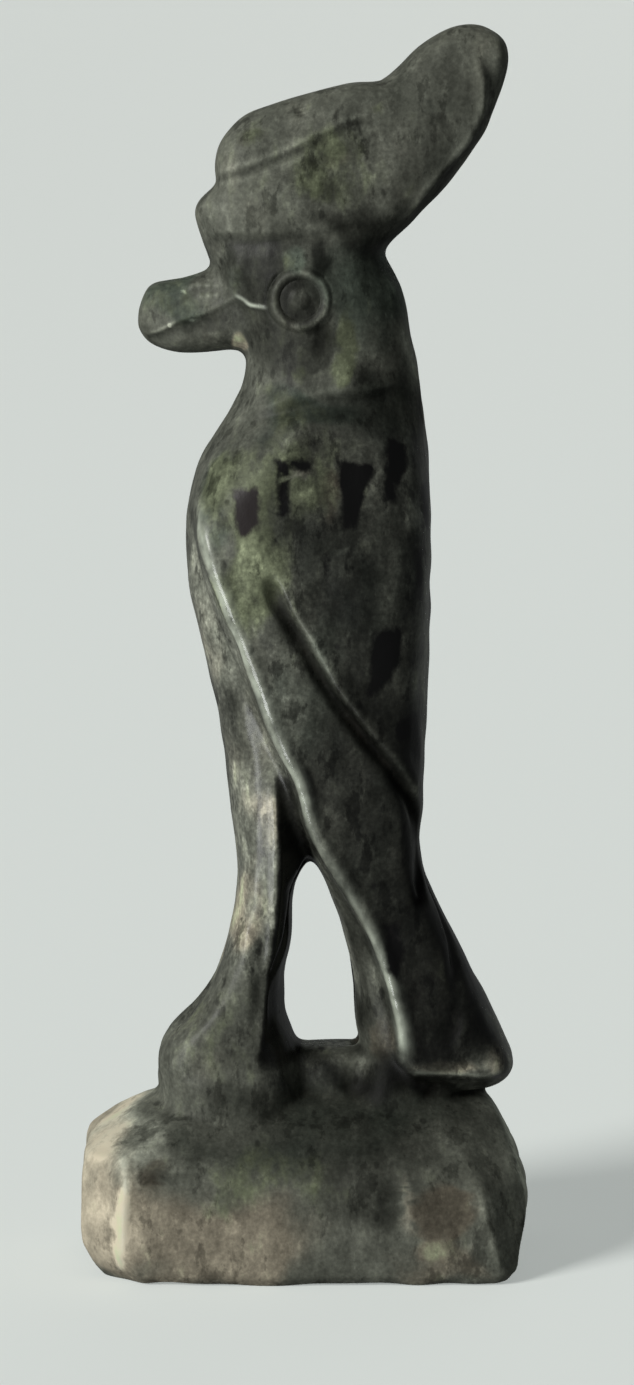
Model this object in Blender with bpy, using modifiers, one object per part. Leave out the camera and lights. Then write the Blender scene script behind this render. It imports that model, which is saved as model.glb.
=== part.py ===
"""A falcon god statuette: a standing falcon in the double crown of Egypt, with its plinth.

Bird, crown and plinth are carved from one piece of mottled dark green stone, so the model is
one closed solid. The bird looks along -Y and stands on a plinth whose underside lies in the
plane z = 0, centred on the origin.

The plinth has its own sizes, in metres. The bird keeps its pose and its carving as
hundredths of its own height: forward and back from the middle of the plinth, up from the
top of the plinth, and out from the plane that halves the bird.

Every mass of the bird is a closed skin through a few cross-sections. The masses overlap, one
remesh fuses them, and the carving is then pressed into the fused surface along lines drawn
on the bird's flank.
"""

import math

import bmesh
import bpy
import numpy as np
from mathutils import Vector

# Driving sizes, in metres

FIGURE_HEIGHT = 0.0429
PLINTH_LENGTH = 0.0180
PLINTH_WIDTH = 0.0105
PLINTH_HEIGHT = 0.0071
PLINTH_CORNER = 0.0018
REAR_CORNER_AT_FOOT = 0.0005
FRONT_SLOPE_RUN = 0.0032
FRONT_SLOPE_DROP = 0.0021
REAR_SLOPE_RUN = 0.0019
REAR_SLOPE_DROP = 0.0042
REAR_LEAN = 0.0005
SIDE_SLOPE_RUN = 0.0039
SIDE_SLOPE_DROP = 0.0032
FRONT_FOOT_RUN = 0.0009
FRONT_FOOT_RISE = 0.0014
FOOT_CHAMFER = 0.0004

# How finely the stone is worked and where points count as one, in metres

GRAIN = 0.00018
MERGE = 0.000002
TRIANGLES = 9400

# Shoulders of the plinth: 1 is a flat chamfer and 2 is a quarter ellipse

FRONT_ROUNDNESS = 1.03
REAR_ROUNDNESS = 1.35
SIDE_ROUNDNESS = 1.5
PLINTH_LEVELS = 32

# One hundredth of the figure's height

UNIT = FIGURE_HEIGHT / 100.0

# Points in an eighth of a cross-section, and the height between two of the body's sections

EIGHTH_RING = 8
SECTION_STEP = 0.8

# The body in two masses. Each pair is a height above the plinth and the value there: where
# the front and the back of the section lie, its half width, how square it is, and how far
# the middle of its front and back stands out past their side edges.

BREAST_AND_LEGS = {
    "front": (
        (-3.0, -13.4), (0.5, -14.0), (2.8, -14.3), (5.3, -13.3), (7.3, -11.2), (9.7, -9.3),
        (13.5, -7.7), (19.3, -6.6), (25.1, -6.9), (33.2, -7.8), (41.5, -9.4), (48.7, -11.2),
        (52.2, -11.2), (55.7, -10.8), (60.0, -9.6), (64.2, -7.2), (66.0, -6.4),
    ),
    "back": (
        (-3.0, 0.5), (2.0, -0.2), (4.3, -0.9), (8.0, -2.0), (10.6, -1.9), (14.0, -1.2),
        (17.8, -1.2), (20.0, -0.8), (21.6, 0.2), (24.0, 1.6), (30.0, 4.0), (66.0, 6.0),
    ),
    "width": (
        (-3.0, 7.8), (3.0, 7.7), (6.0, 7.3), (10.0, 6.8), (16.0, 6.7), (22.0, 7.0), (30.0, 7.6),
        (38.0, 8.4), (46.0, 9.2), (54.0, 9.2), (60.0, 8.0), (66.0, 6.6),
    ),
    "squareness": ((-3.0, 3.2), (10.0, 4.0), (24.0, 4.4), (40.0, 3.2), (66.0, 2.8)),
    "front swell": ((-3.0, 1.2), (6.0, 1.4), (20.0, 1.2), (34.0, 1.8), (50.0, 2.6), (66.0, 1.2)),
    "back swell": ((-3.0, 1.4), (10.0, 1.2), (20.0, 1.0), (24.0, 3.4), (30.0, 6.0), (66.0, 3.0)),
}
WINGS_AND_TAIL = {
    "front": (
        (0.4, 7.2), (2.6, 5.8), (6.3, 4.6), (9.2, 4.5), (12.6, 4.0), (16.4, 3.1), (18.6, 2.4),
        (21.3, 1.1), (23.6, -0.2), (28.0, -2.2), (34.0, -4.2), (41.0, -6.9), (48.0, -9.4),
        (52.0, -10.2), (57.0, -10.2), (62.0, -7.8), (65.5, -5.6),
    ),
    "back": (
        (0.4, 18.2), (1.2, 19.3), (2.1, 19.8), (4.8, 19.0), (8.0, 17.6), (11.1, 15.9),
        (14.5, 14.3), (18.2, 12.6), (21.2, 11.4), (24.0, 10.9), (29.4, 11.1), (41.9, 11.7),
        (52.9, 11.8), (61.6, 11.4), (65.5, 10.9),
    ),
    "width": (
        (0.4, 4.4), (1.2, 5.5), (2.4, 6.7), (3.4, 6.9), (8.0, 7.1), (14.0, 7.6), (20.0, 8.5),
        (26.0, 9.5), (34.0, 10.4), (42.0, 11.0), (50.0, 11.4), (56.0, 11.1), (60.0, 10.2),
        (63.0, 9.2), (65.5, 8.0),
    ),
    "squareness": ((0.4, 4.0), (20.0, 5.0), (40.0, 5.5), (51.0, 5.5), (58.0, 4.0), (65.5, 3.0)),
    "front swell": (
        (0.4, 3.2), (6.0, 3.4), (11.0, 2.4), (17.0, 1.8), (22.0, 1.2), (30.0, 0.8), (65.5, 0.6),
    ),
    "back swell": ((0.4, 0.5), (12.0, 0.7), (30.0, 0.9), (50.0, 1.0), (65.5, 0.8)),
}

# Masses whose sections lean: the two ends of each section in side view, and its half width

HEAD = (
    ((-6.4, 62.8), (10.9, 66.2), 8.2), ((-6.2, 64.9), (10.8, 67.6), 8.1),
    ((-5.9, 67.0), (10.6, 69.0), 7.9), ((-5.6, 69.2), (10.3, 70.7), 7.6),
    ((-5.9, 71.4), (9.95, 72.4), 7.6), ((-6.5, 73.6), (9.6, 74.3), 7.7),
    ((-7.2, 75.6), (9.1, 75.9), 7.6), ((-8.5, 77.4), (8.1, 77.5), 7.3),
    ((-9.0, 78.9), (7.2, 79.0), 7.0), ((-9.0, 80.5), (6.8, 80.5), 6.8),
)
BEAK = (
    ((-4.5, 77.6), (-4.5, 69.7), 4.6), ((-7.2, 77.7), (-6.9, 69.8), 4.0),
    ((-9.0, 77.4), (-9.0, 69.8), 3.5), ((-11.0, 76.7), (-11.2, 69.7), 3.2),
    ((-12.9, 76.3), (-13.0, 70.0), 2.9), ((-14.2, 76.1), (-14.3, 70.5), 2.6),
    ((-14.9, 75.3), (-15.0, 71.1), 2.2), ((-15.5, 73.9), (-15.6, 72.1), 1.4),
)
RED_CROWN = (
    ((-8.8, 78.2), (6.9, 78.4), 6.8), ((-9.5, 79.8), (7.8, 79.8), 7.1),
    ((-10.1, 81.3), (9.5, 81.4), 7.2), ((-10.5, 82.8), (11.0, 82.9), 7.1),
    ((-9.9, 84.1), (12.2, 84.2), 7.0), ((-8.3, 85.1), (13.2, 85.4), 6.9),
    ((-4.6, 86.0), (14.4, 86.9), 6.7), ((-0.4, 87.7), (15.6, 88.6), 6.4),
    ((3.0, 89.4), (16.7, 90.3), 6.0), ((5.2, 91.4), (17.7, 92.2), 5.5),
    ((6.4, 93.3), (18.3, 93.8), 5.1), ((7.4, 95.0), (18.8, 95.3), 4.8),
    ((9.2, 96.7), (19.05, 96.8), 4.3), ((11.0, 98.3), (18.8, 98.2), 3.7),
    ((12.8, 99.4), (17.9, 99.2), 2.9), ((14.6, 99.95), (16.6, 99.9), 1.6),
)
WHITE_CROWN = (
    ((-8.2, 85.3), (-4.0, 81.0), 5.9), ((-8.5, 87.2), (-1.0, 81.8), 6.4),
    ((-7.9, 89.2), (1.0, 82.6), 6.5), ((-6.2, 91.0), (3.0, 83.4), 6.5),
    ((-3.9, 92.3), (5.0, 84.2), 6.4), ((-0.7, 93.4), (7.0, 85.4), 6.3),
    ((2.6, 94.3), (9.0, 87.0), 6.1), ((4.4, 94.6), (11.0, 88.5), 5.8),
    ((5.9, 94.6), (12.4, 90.0), 5.5), ((7.6, 94.9), (13.6, 91.6), 5.2),
)
SADDLE = (
    ((-3.5, -3.0), (8.5, -3.0), 4.6), ((-3.0, 1.0), (7.5, 1.0), 4.2),
    ((-2.5, 3.0), (6.8, 3.0), 3.4), ((-1.6, 4.1), (5.8, 4.1), 2.0),
)
TAIL_FOOT = (
    ((4.8, -3.0), (12.6, -3.0), 6.6), ((5.0, 0.0), (12.2, 0.0), 6.2),
    ((5.2, 1.6), (12.0, 1.6), 5.9), ((5.6, 3.0), (11.8, 3.0), 5.6),
)

# Lines of the carving on the flank, as places behind the middle and heights

COLLAR = ((-7.2, 62.6), (-4.7, 64.1), (-1.8, 65.0), (1.1, 65.7), (5.9, 66.2), (9.6, 66.8))
WING_EDGE = (
    (-9.9, 57.5), (-9.5, 53.9), (-8.5, 50.5), (-6.7, 45.4), (-4.3, 39.4), (-2.2, 33.8),
    (-0.4, 30.1), (0.7, 26.0), (2.8, 22.2), (5.6, 17.5), (7.6, 12.5), (8.9, 7.6), (9.5, 3.0),
)
LEG_EDGE = (
    (-2.9, 31.0), (-2.6, 26.0), (-2.6, 20.9), (-2.9, 16.2), (-3.4, 12.0), (-3.8, 8.0), (-4.4, 3.5),
)
COVERT_EDGE = (
    (-3.6, 50.0), (-2.6, 47.2), (-0.1, 42.9), (2.4, 38.5), (5.6, 34.3), (8.8, 30.2),
    (10.3, 26.5), (10.8, 22.3), (10.7, 18.0),
)
WING_TIP = ((13.5, 15.6), (13.8, 11.8), (14.0, 9.0), (13.5, 6.2), (12.4, 3.6))
RIM = ((-8.7, 84.9), (-4.6, 85.8), (-1.8, 86.9), (1.7, 88.5), (4.2, 89.7), (6.6, 90.4))
CROWN_BASE = ((-9.4, 79.7), (-6.0, 80.0), (-0.5, 80.1), (2.6, 80.6), (5.4, 81.0), (7.6, 80.6))
CROWN_BAND = (
    (15.4, 97.2), (16.2, 94.6), (16.2, 91.8), (15.4, 89.6), (13.3, 87.0), (11.4, 84.8),
    (9.1, 81.4),
)
MOUTH = ((-3.6, 73.6), (-6.4, 74.5), (-8.8, 73.4), (-11.0, 72.7), (-13.2, 72.0), (-15.2, 71.4))
BEAK_RIDGE = ((-6.6, 76.1), (-9.0, 75.3), (-11.4, 74.6), (-13.2, 74.0))
FACE_EDGE = ((-5.6, 78.6), (-6.5, 76.8), (-6.7, 74.6), (-6.2, 72.0), (-5.4, 70.0))

# The eye: a raised ring round a sunken annulus with a round boss in it

EYE = (-0.3, 74.7)
EYE_RING_RADIUS = 2.5
EYE_BOSS_RADIUS = 0.85

# Partings on the front and the back, as heights, and the toes of each foot

LEG_PARTING = (1.0, 27.0)
BACK_PARTING = (27.0, 58.0)
WING_TIPS_CROSS = 29.0
WING_TIPS_SPREAD = 0.36
TOE_GAPS = (2.7, 5.1)
TOES = (-0.5, 5.5)


def place(across, along, height):
    """A point of the bird, from hundredths to metres."""
    return Vector((across * UNIT, along * UNIT, PLINTH_HEIGHT + height * UNIT))


def smooth_curve(knots, positions):
    """Values of a smooth curve through (position, value) knots."""
    table = np.array(knots, dtype=float)
    x = table[:, 0]
    y = table[:, 1]
    slope = np.gradient(y, x)
    low = np.clip(np.searchsorted(x, positions, side="right") - 1, 0, len(x) - 2)
    span = x[low + 1] - x[low]
    t = np.clip((positions - x[low]) / span, 0.0, 1.0)
    start = (1 + 2 * t) * (1 - t) ** 2 * y[low] + t * (1 - t) ** 2 * span * slope[low]
    end = t * t * (3 - 2 * t) * y[low + 1] + t * t * (t - 1) * span * slope[low + 1]
    return start + end


def smooth_columns(rows, positions, count):
    """Each column of a table of rows, smoothed between the rows."""
    table = np.array(rows, dtype=float)
    columns = range(table.shape[1])
    return [smooth_curve(np.column_stack((positions, table[:, c])), count) for c in columns]


def smooth_path(points, spacing=0.25):
    """The points of a smooth line through the given ones, close together."""
    steps = np.linalg.norm(np.diff(np.array(points), axis=0), axis=1)
    travel = np.concatenate(([0.0], np.cumsum(steps)))
    places = np.linspace(0.0, travel[-1], int(travel[-1] / spacing) + 2)
    return np.column_stack(smooth_columns(points, travel, places))


def unit_ring(squareness):
    """Points round |x|**n + |y|**n = 1 as (across, along), evenly spread on its flat sides."""
    corner = 0.5 ** (1.0 / squareness)
    shares = [corner * step / EIGHTH_RING for step in range(EIGHTH_RING + 1)]
    eighth = [(share, (1.0 - share**squareness) ** (1.0 / squareness)) for share in shares]
    quarter = eighth + [(along, across) for across, along in reversed(eighth[:-1])]
    half = quarter + [(across, -along) for across, along in reversed(quarter[:-1])]
    return half + [(-across, along) for across, along in reversed(half[1:-1])]


def section(front, back, half_width, squareness, front_swell, back_swell):
    """A closed section between two ends in side view, each an (along, height) pair."""
    front = Vector(front)
    back = Vector(back)
    middle = (front + back) / 2.0
    reach = (back - front).length / 2.0
    direction = (back - front).normalized()
    ring = []
    for across, along in unit_ring(squareness):
        swell = back_swell if along > 0 else front_swell
        spot = middle + direction * along * (reach - swell * across * across)
        ring.append(place(across * half_width, spot.x, spot.y))
    return ring


def loft(shell, rings):
    """Add a closed skin through rings that all run the same way round."""
    loops = []
    for ring in rings:
        verts = [shell.verts.new(spot) for spot in ring]
        loops.append([shell.edges.new(pair) for pair in zip(verts, verts[1:] + verts[:1])])
    faces = []
    for lower, upper in zip(loops, loops[1:]):
        faces += bmesh.ops.bridge_loops(shell, edges=lower + upper)["faces"]
    for cap in (loops[0], loops[-1]):
        faces += bmesh.ops.contextual_create(shell, geom=cap)["faces"]
    bmesh.ops.recalc_face_normals(shell, faces=faces)


def add_upright(shell, form, low, high):
    """A mass of level sections between two heights, read from its curves."""
    heights = np.linspace(low, high, int((high - low) / SECTION_STEP) + 2)
    names = ("front", "back", "width", "squareness", "front swell", "back swell")
    curves = [smooth_curve(form[name], heights) for name in names]
    rings = [
        section((front, height), (back, height), *rest)
        for height, front, back, *rest in zip(heights, *curves)
    ]
    loft(shell, rings)


def add_leaning(shell, stations, squareness, front_swell=0.0, back_swell=0.0, between=4):
    """A mass of leaning sections, smoothed between the given ones."""
    rows = [(*front, *back, width) for front, back, width in stations]
    last = len(rows) - 1
    columns = smooth_columns(rows, np.arange(last + 1), np.linspace(0, last, last * between + 1))
    rings = [
        section((ay, az), (by, bz), width, squareness, front_swell, back_swell)
        for ay, az, by, bz, width in zip(*columns)
    ]
    loft(shell, rings)


def slope_inset(below_top, drop, run, roundness):
    """How far a plinth wall has drawn in at a depth below the plinth's top."""
    share = max(0.0, 1.0 - below_top / drop)
    return run * (1.0 - (1.0 - share**roundness) ** (1.0 / roundness))


def plinth_ring(height):
    """The plinth's outline at one height: a rectangle with flat corners."""
    below_top = PLINTH_HEIGHT - height
    chamfer = max(0.0, FOOT_CHAMFER - height)
    front_foot = FRONT_FOOT_RUN * max(0.0, 1.0 - height / FRONT_FOOT_RISE)
    rear_foot = REAR_LEAN * max(0.0, 1.0 - height / (PLINTH_HEIGHT - REAR_SLOPE_DROP))
    front_slope = slope_inset(below_top, FRONT_SLOPE_DROP, FRONT_SLOPE_RUN, FRONT_ROUNDNESS)
    rear_slope = slope_inset(below_top, REAR_SLOPE_DROP, REAR_SLOPE_RUN, REAR_ROUNDNESS)
    front = -PLINTH_LENGTH / 2 + front_slope + front_foot
    rear = PLINTH_LENGTH / 2 - rear_slope - rear_foot - chamfer
    side_slope = slope_inset(below_top, SIDE_SLOPE_DROP, SIDE_SLOPE_RUN, SIDE_ROUNDNESS)
    side = PLINTH_WIDTH / 2 - side_slope - chamfer
    corner = PLINTH_CORNER
    share = min(1.0, height / (PLINTH_HEIGHT - REAR_SLOPE_DROP))
    rear_corner = REAR_CORNER_AT_FOOT + (corner - REAR_CORNER_AT_FOOT) * share
    right = [
        (0.0, rear), (side - rear_corner, rear), (side, rear - rear_corner),
        (side, front + corner), (side - corner, front), (0.0, front),
    ]
    left = [(-x, y) for x, y in reversed(right[1:-1])]
    return [Vector((x, y, height)) for x, y in right + left]


def add_plinth(shell):
    """The loaf-shaped plinth, reaching a little below z = 0 until its underside is cut."""
    slopes = 0.5 - 0.5 * np.cos(np.linspace(0.0, math.pi, PLINTH_LEVELS + 1))
    foot = [0.0, FOOT_CHAMFER, FRONT_FOOT_RISE]
    heights = foot + list(PLINTH_HEIGHT - REAR_SLOPE_DROP * slopes)
    below = [Vector((x, y, -3 * GRAIN)) for x, y, _ in plinth_ring(0.0)]
    loft(shell, [below] + [plinth_ring(height) for height in sorted(heights)])


def block_out():
    """All masses of the statuette in one mesh, still overlapping."""
    shell = bmesh.new()
    add_plinth(shell)
    add_upright(shell, BREAST_AND_LEGS, -3.0, 66.0)
    add_upright(shell, WINGS_AND_TAIL, 0.4, 65.5)
    add_leaning(shell, HEAD, 3.0, 0.8, 0.8)
    add_leaning(shell, BEAK, 2.8)
    add_leaning(shell, RED_CROWN, 3.6, 0.8, 0.3)
    add_leaning(shell, WHITE_CROWN, 3.0)
    add_leaning(shell, SADDLE, 2.2)
    add_leaning(shell, TAIL_FOOT, 3.0)
    mesh = bpy.data.meshes.new("blocked out")
    shell.to_mesh(mesh)
    shell.free()
    return mesh


def evaluated(mesh, *modifiers):
    """A mesh after (kind, settings) modifiers are applied to it."""
    holder = bpy.data.objects.new("holder", mesh)
    bpy.context.scene.collection.objects.link(holder)
    for kind, settings in modifiers:
        modifier = holder.modifiers.new(kind.title(), kind)
        for name, value in settings.items():
            setattr(modifier, name, value)
    graph = bpy.context.evaluated_depsgraph_get()
    result = bpy.data.meshes.new_from_object(holder.evaluated_get(graph))
    bpy.data.objects.remove(holder)
    bpy.data.meshes.remove(mesh)
    return result


def fuse(mesh):
    """One even skin round all masses, with the steps of the remesh smoothed away."""
    remesh = ("REMESH", {"mode": "VOXEL", "voxel_size": GRAIN})
    smooth = ("SMOOTH", {"factor": 0.5, "iterations": 4})
    return evaluated(mesh, remesh, smooth)


def soft_step(value):
    """0 below 0, 1 above 1, and a smooth rise between."""
    value = np.clip(value, 0.0, 1.0)
    return value * value * (3.0 - 2.0 * value)


def bump(distance, width):
    """1 on a line and nearly 0 one width away from it."""
    return np.exp(-((distance / (0.55 * width)) ** 2))


class Surface:
    """The fused surface as arrays, in hundredths, while the carving is pressed into it."""

    def __init__(self, mesh):
        self.mesh = mesh
        spots = np.empty(len(mesh.vertices) * 3)
        normals = np.empty(len(mesh.vertices) * 3)
        mesh.vertices.foreach_get("co", spots)
        mesh.vertices.foreach_get("normal", normals)
        self.spots = spots.reshape(-1, 3)
        self.normals = normals.reshape(-1, 3)
        self.across = self.spots[:, 0] / UNIT
        self.along = self.spots[:, 1] / UNIT
        self.height = (self.spots[:, 2] - PLINTH_HEIGHT) / UNIT
        self.flank = soft_step((np.abs(self.normals[:, 0]) - 0.12) / 0.38)
        self.depth = np.zeros(len(self.spots))

    def press(self, height, weight):
        """Raise the surface by a height in hundredths, or sink it by a negative one."""
        self.depth += height * weight

    def between(self, low, high, low_fade, high_fade):
        """A weight for the heights between two limits, fading inwards from each."""
        rise = soft_step((self.height - low) / low_fade)
        return rise * soft_step((high - self.height) / high_fade)

    def beside(self, line, fade):
        """The distance from a line on the flank, and a weight that fades at its ends.

        The distance is positive on the right of the line as it runs, seen from +X.
        """
        path = smooth_path(line)
        travelled = 0.0
        spots = np.column_stack((self.along, self.height))
        nearest = np.full(len(spots), np.inf)
        way = np.zeros(len(spots))
        for start, run in zip(path, np.diff(path, axis=0)):
            length = math.hypot(*run)
            away = spots - start
            share = np.clip(away @ run / length**2, 0.0, 1.0)
            distance = np.hypot(*(away - share[:, None] * run).T)
            side = np.where(run[1] * away[:, 0] >= run[0] * away[:, 1], 1.0, -1.0)
            nearer = distance < np.abs(nearest)
            nearest = np.where(nearer, distance * side, nearest)
            way = np.where(nearer, travelled + share * length, way)
            travelled += length
        ends = soft_step(way / fade) * soft_step((travelled - way) / fade)
        return nearest, ends * self.flank

    def finish(self):
        moved = self.spots + self.normals * (self.depth * UNIT)[:, None]
        self.mesh.vertices.foreach_set("co", moved.ravel())
        self.mesh.update()


def groove(surface, line, depth, width, fade=1.5):
    distance, weight = surface.beside(line, fade)
    surface.press(-depth, weight * bump(distance, width))


def carve_eye(surface):
    away = np.hypot(surface.along - EYE[0], surface.height - EYE[1])
    surface.press(0.42, surface.flank * bump(away - EYE_RING_RADIUS, 0.75))
    surface.press(-0.55, surface.flank * bump(away - 0.62 * EYE_RING_RADIUS, 0.95))
    surface.press(0.35, surface.flank * soft_step((EYE_BOSS_RADIUS + 0.3 - away) / 0.6))


def carve_head(surface):
    distance, weight = surface.beside(COLLAR, 2.5)
    surface.press(0.3, weight * bump(distance + 0.7, 1.6))
    surface.press(-0.4, weight * bump(distance - 0.45, 1.0))
    distance, weight = surface.beside(MOUTH, 0.8)
    surface.press(0.3, weight * bump(distance, 0.7))
    surface.press(-0.4, weight * bump(distance + 0.8, 0.8))
    groove(surface, BEAK_RIDGE, 0.22, 0.7, 1.0)
    distance, weight = surface.beside(FACE_EDGE, 1.2)
    surface.press(0.35, weight * bump(distance, 0.8))


def carve_crown(surface):
    groove(surface, RIM, 0.35, 0.8, 2.0)
    groove(surface, CROWN_BASE, 0.4, 0.8, 0.6)
    distance, weight = surface.beside(CROWN_BAND, 2.0)
    surface.press(0.22, weight * bump(distance, 0.8))
    surface.press(-0.25, weight * bump(distance + 1.0, 1.3))


def carve_wings(surface):
    distance, weight = surface.beside(WING_EDGE, 4.0)
    surface.press(0.6, weight * bump(distance, 0.9))
    surface.press(-0.4, weight * bump(distance - 1.4, 1.5))
    distance, weight = surface.beside(LEG_EDGE, 2.5)
    surface.press(0.3, weight * bump(distance, 0.8))
    distance, weight = surface.beside(COVERT_EDGE, 2.5)
    surface.press(-0.65, weight * bump(distance, 0.9))
    surface.press(0.4, weight * bump(distance + 1.2, 1.2))
    groove(surface, WING_TIP, 0.3, 1.0, 3.0)


def carve_front_and_back(surface):
    """The parting between the legs, the toes, and the folded wings crossing over the tail."""
    facing = -surface.normals[:, 1]
    front = soft_step((facing - 0.1) / 0.4)
    back = soft_step((-facing - 0.2) / 0.4)
    middle = bump(surface.across, 1.6)
    surface.press(-1.3, front * middle * surface.between(*LEG_PARTING, 2.0, 8.0))
    surface.press(-0.7, back * middle * surface.between(*BACK_PARTING, 3.0, 8.0))
    spread = WING_TIPS_SPREAD * (WING_TIPS_CROSS - surface.height)
    tips = bump(np.abs(surface.across) - spread, 0.9)
    surface.press(-0.5, back * tips * surface.between(9.0, WING_TIPS_CROSS, 4.0, 2.0))
    upper = soft_step((surface.normals[:, 2] + 0.3) / 0.5)
    toes = front * upper * surface.between(*TOES, 1.0, 2.5) * (surface.along < -9.0)
    for gap in TOE_GAPS:
        surface.press(-0.5, toes * bump(np.abs(surface.across) - gap, 0.8))


def carve(mesh):
    surface = Surface(mesh)
    carve_eye(surface)
    carve_head(surface)
    carve_crown(surface)
    carve_wings(surface)
    carve_front_and_back(surface)
    surface.finish()
    return mesh


def edited(mesh, work):
    """A mesh after some work on it as a bmesh."""
    stone = bmesh.new()
    stone.from_mesh(mesh)
    work(stone)
    stone.to_mesh(mesh)
    stone.free()
    return mesh


def cut_off(stone, outward):
    """Cut away what lies beyond the origin in a direction, and return the new rim."""
    everything = stone.verts[:] + stone.edges[:] + stone.faces[:]
    cut = bmesh.ops.bisect_plane(
        stone, geom=everything, dist=MERGE, plane_co=(0, 0, 0), plane_no=outward,
        clear_outer=True,
    )
    return [item for item in cut["geom_cut"] if isinstance(item, bmesh.types.BMEdge)]


def open_half(stone):
    """The half on the +X side, open where it meets the middle plane."""
    cut_off(stone, (-1, 0, 0))
    bmesh.ops.triangulate(stone, faces=stone.faces[:])


def straighten_rim(stone):
    """Put the open rim back in the middle plane exactly."""
    for vert in stone.verts:
        if vert.is_boundary:
            vert.co.x = 0.0


def close_underside(stone):
    """The flat face that the plinth stands on."""
    bmesh.ops.contextual_create(stone, geom=cut_off(stone, (0, 0, -1)))
    bmesh.ops.recalc_face_normals(stone, faces=stone.faces[:])
    bmesh.ops.triangulate(stone, faces=[face for face in stone.faces if len(face.verts) > 3])


def lighten_and_mirror(mesh):
    """Fewer triangles where the surface is calm, and the other half."""
    half = edited(mesh, open_half)
    share = min(1.0, TRIANGLES / 2 / len(half.polygons))
    half = edited(evaluated(half, ("DECIMATE", {"ratio": share})), straighten_rim)
    return evaluated(half, ("MIRROR", {"merge_threshold": MERGE}))


def stone_material():
    material = bpy.data.materials.new("mottled green stone")
    material.use_nodes = True
    shader = material.node_tree.nodes["Principled BSDF"]
    shader.inputs["Base Color"].default_value = (0.10, 0.11, 0.08, 1.0)
    shader.inputs["Roughness"].default_value = 0.35
    shader.inputs["Metallic"].default_value = 0.0
    return material


def main():
    for old in list(bpy.data.objects):
        bpy.data.objects.remove(old)
    parts = bpy.data.collections.new("falcon god statuette")
    bpy.context.scene.collection.children.link(parts)
    mesh = edited(lighten_and_mirror(carve(fuse(block_out()))), close_underside)
    mesh.name = "falcon_statuette"
    mesh.materials.clear()
    mesh.materials.append(stone_material())
    mesh.shade_smooth()
    statuette = bpy.data.objects.new("falcon_statuette", mesh)
    parts.objects.link(statuette)


main()
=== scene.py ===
# %% [markdown]
# # A falcon god statuette in mottled green stone
#
# The real object is 50 mm tall: a falcon in the double crown, carved with its plinth from one
# piece of hard stone and polished by wear. The frame already holds its form as one closed
# solid. This file is about what makes it look like stone: crisp carved ridges on a fine
# surface, worn edges, and a material with patches, grains and a soft polish.

import math

import bmesh
import bpy
import numpy as np
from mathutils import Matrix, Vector


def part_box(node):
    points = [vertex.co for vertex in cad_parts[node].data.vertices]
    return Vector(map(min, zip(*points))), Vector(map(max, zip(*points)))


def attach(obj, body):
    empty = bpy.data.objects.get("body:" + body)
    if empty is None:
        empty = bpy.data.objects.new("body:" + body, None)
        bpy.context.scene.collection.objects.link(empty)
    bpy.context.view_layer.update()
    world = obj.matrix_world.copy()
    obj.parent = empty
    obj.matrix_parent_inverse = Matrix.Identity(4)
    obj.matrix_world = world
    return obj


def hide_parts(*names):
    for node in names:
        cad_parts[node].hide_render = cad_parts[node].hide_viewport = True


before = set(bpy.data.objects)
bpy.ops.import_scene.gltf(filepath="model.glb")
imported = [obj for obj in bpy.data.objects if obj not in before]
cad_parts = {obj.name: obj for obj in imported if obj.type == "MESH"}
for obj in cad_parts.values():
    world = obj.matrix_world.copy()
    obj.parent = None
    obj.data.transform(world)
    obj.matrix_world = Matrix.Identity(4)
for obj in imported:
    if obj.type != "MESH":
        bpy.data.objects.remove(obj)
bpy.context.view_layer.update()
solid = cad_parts["falcon_statuette"]
low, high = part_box("falcon_statuette")
print("the solid spans", [round((b - a) * 1000, 1) for a, b in zip(low, high)], "mm")

# %% [markdown]
# ## Measures
#
# A carver thinks of a small figure in shares of its height, so the carving lines below are
# given in hundredths of the bird's height: first how far behind the middle of the plinth,
# then how far above the plinth. Across is counted from the plane that halves the bird. Such
# lines stay right if the whole statuette is made larger.

# %% Measures
PLINTH_HEIGHT = 0.0071
UNIT = (high.z - PLINTH_HEIGHT) / 100.0
print("one hundredth of the bird is", round(UNIT * 1000, 3), "mm")

# %% [markdown]
# ## A fine skin over the solid
#
# The solid has about nine thousand triangles, too few for a glossy surface, where every flat
# facet shows as a break in a highlight. Sculptors solve this by remeshing. Here a copy of the
# solid is merged, rounded by one level of subdivision, remeshed into even squares a little
# under a tenth of a millimetre wide, and smoothed. The alternative, sculpting on the solid's
# own triangles, would leave long thin triangles where the detail has to go.


# %% Applying modifiers
def applied(mesh, *modifiers):
    """A mesh after (kind, settings) modifiers, with the holder object cleared away."""
    holder = bpy.data.objects.new("holder", mesh)
    bpy.context.scene.collection.objects.link(holder)
    for kind, settings in modifiers:
        modifier = holder.modifiers.new(kind.title(), kind)
        for name, value in settings.items():
            setattr(modifier, name, value)
    graph = bpy.context.evaluated_depsgraph_get()
    result = bpy.data.meshes.new_from_object(holder.evaluated_get(graph))
    bpy.data.objects.remove(holder)
    bpy.data.meshes.remove(mesh)
    return result


# %% The fine skin
MERGE = 0.000002
VOXEL = 0.000085

copy = bmesh.new()
copy.from_mesh(solid.data)
bmesh.ops.remove_doubles(copy, verts=copy.verts, dist=MERGE)
skin_mesh = bpy.data.meshes.new("skin")
copy.to_mesh(skin_mesh)
copy.free()
skin_mesh = applied(
    skin_mesh,
    ("SUBSURF", {"levels": 1, "render_levels": 1}),
    ("REMESH", {"mode": "VOXEL", "voxel_size": VOXEL}),
    ("SMOOTH", {"factor": 0.5, "iterations": 8}),
)
print("the fine skin has", len(skin_mesh.vertices), "points")


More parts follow.
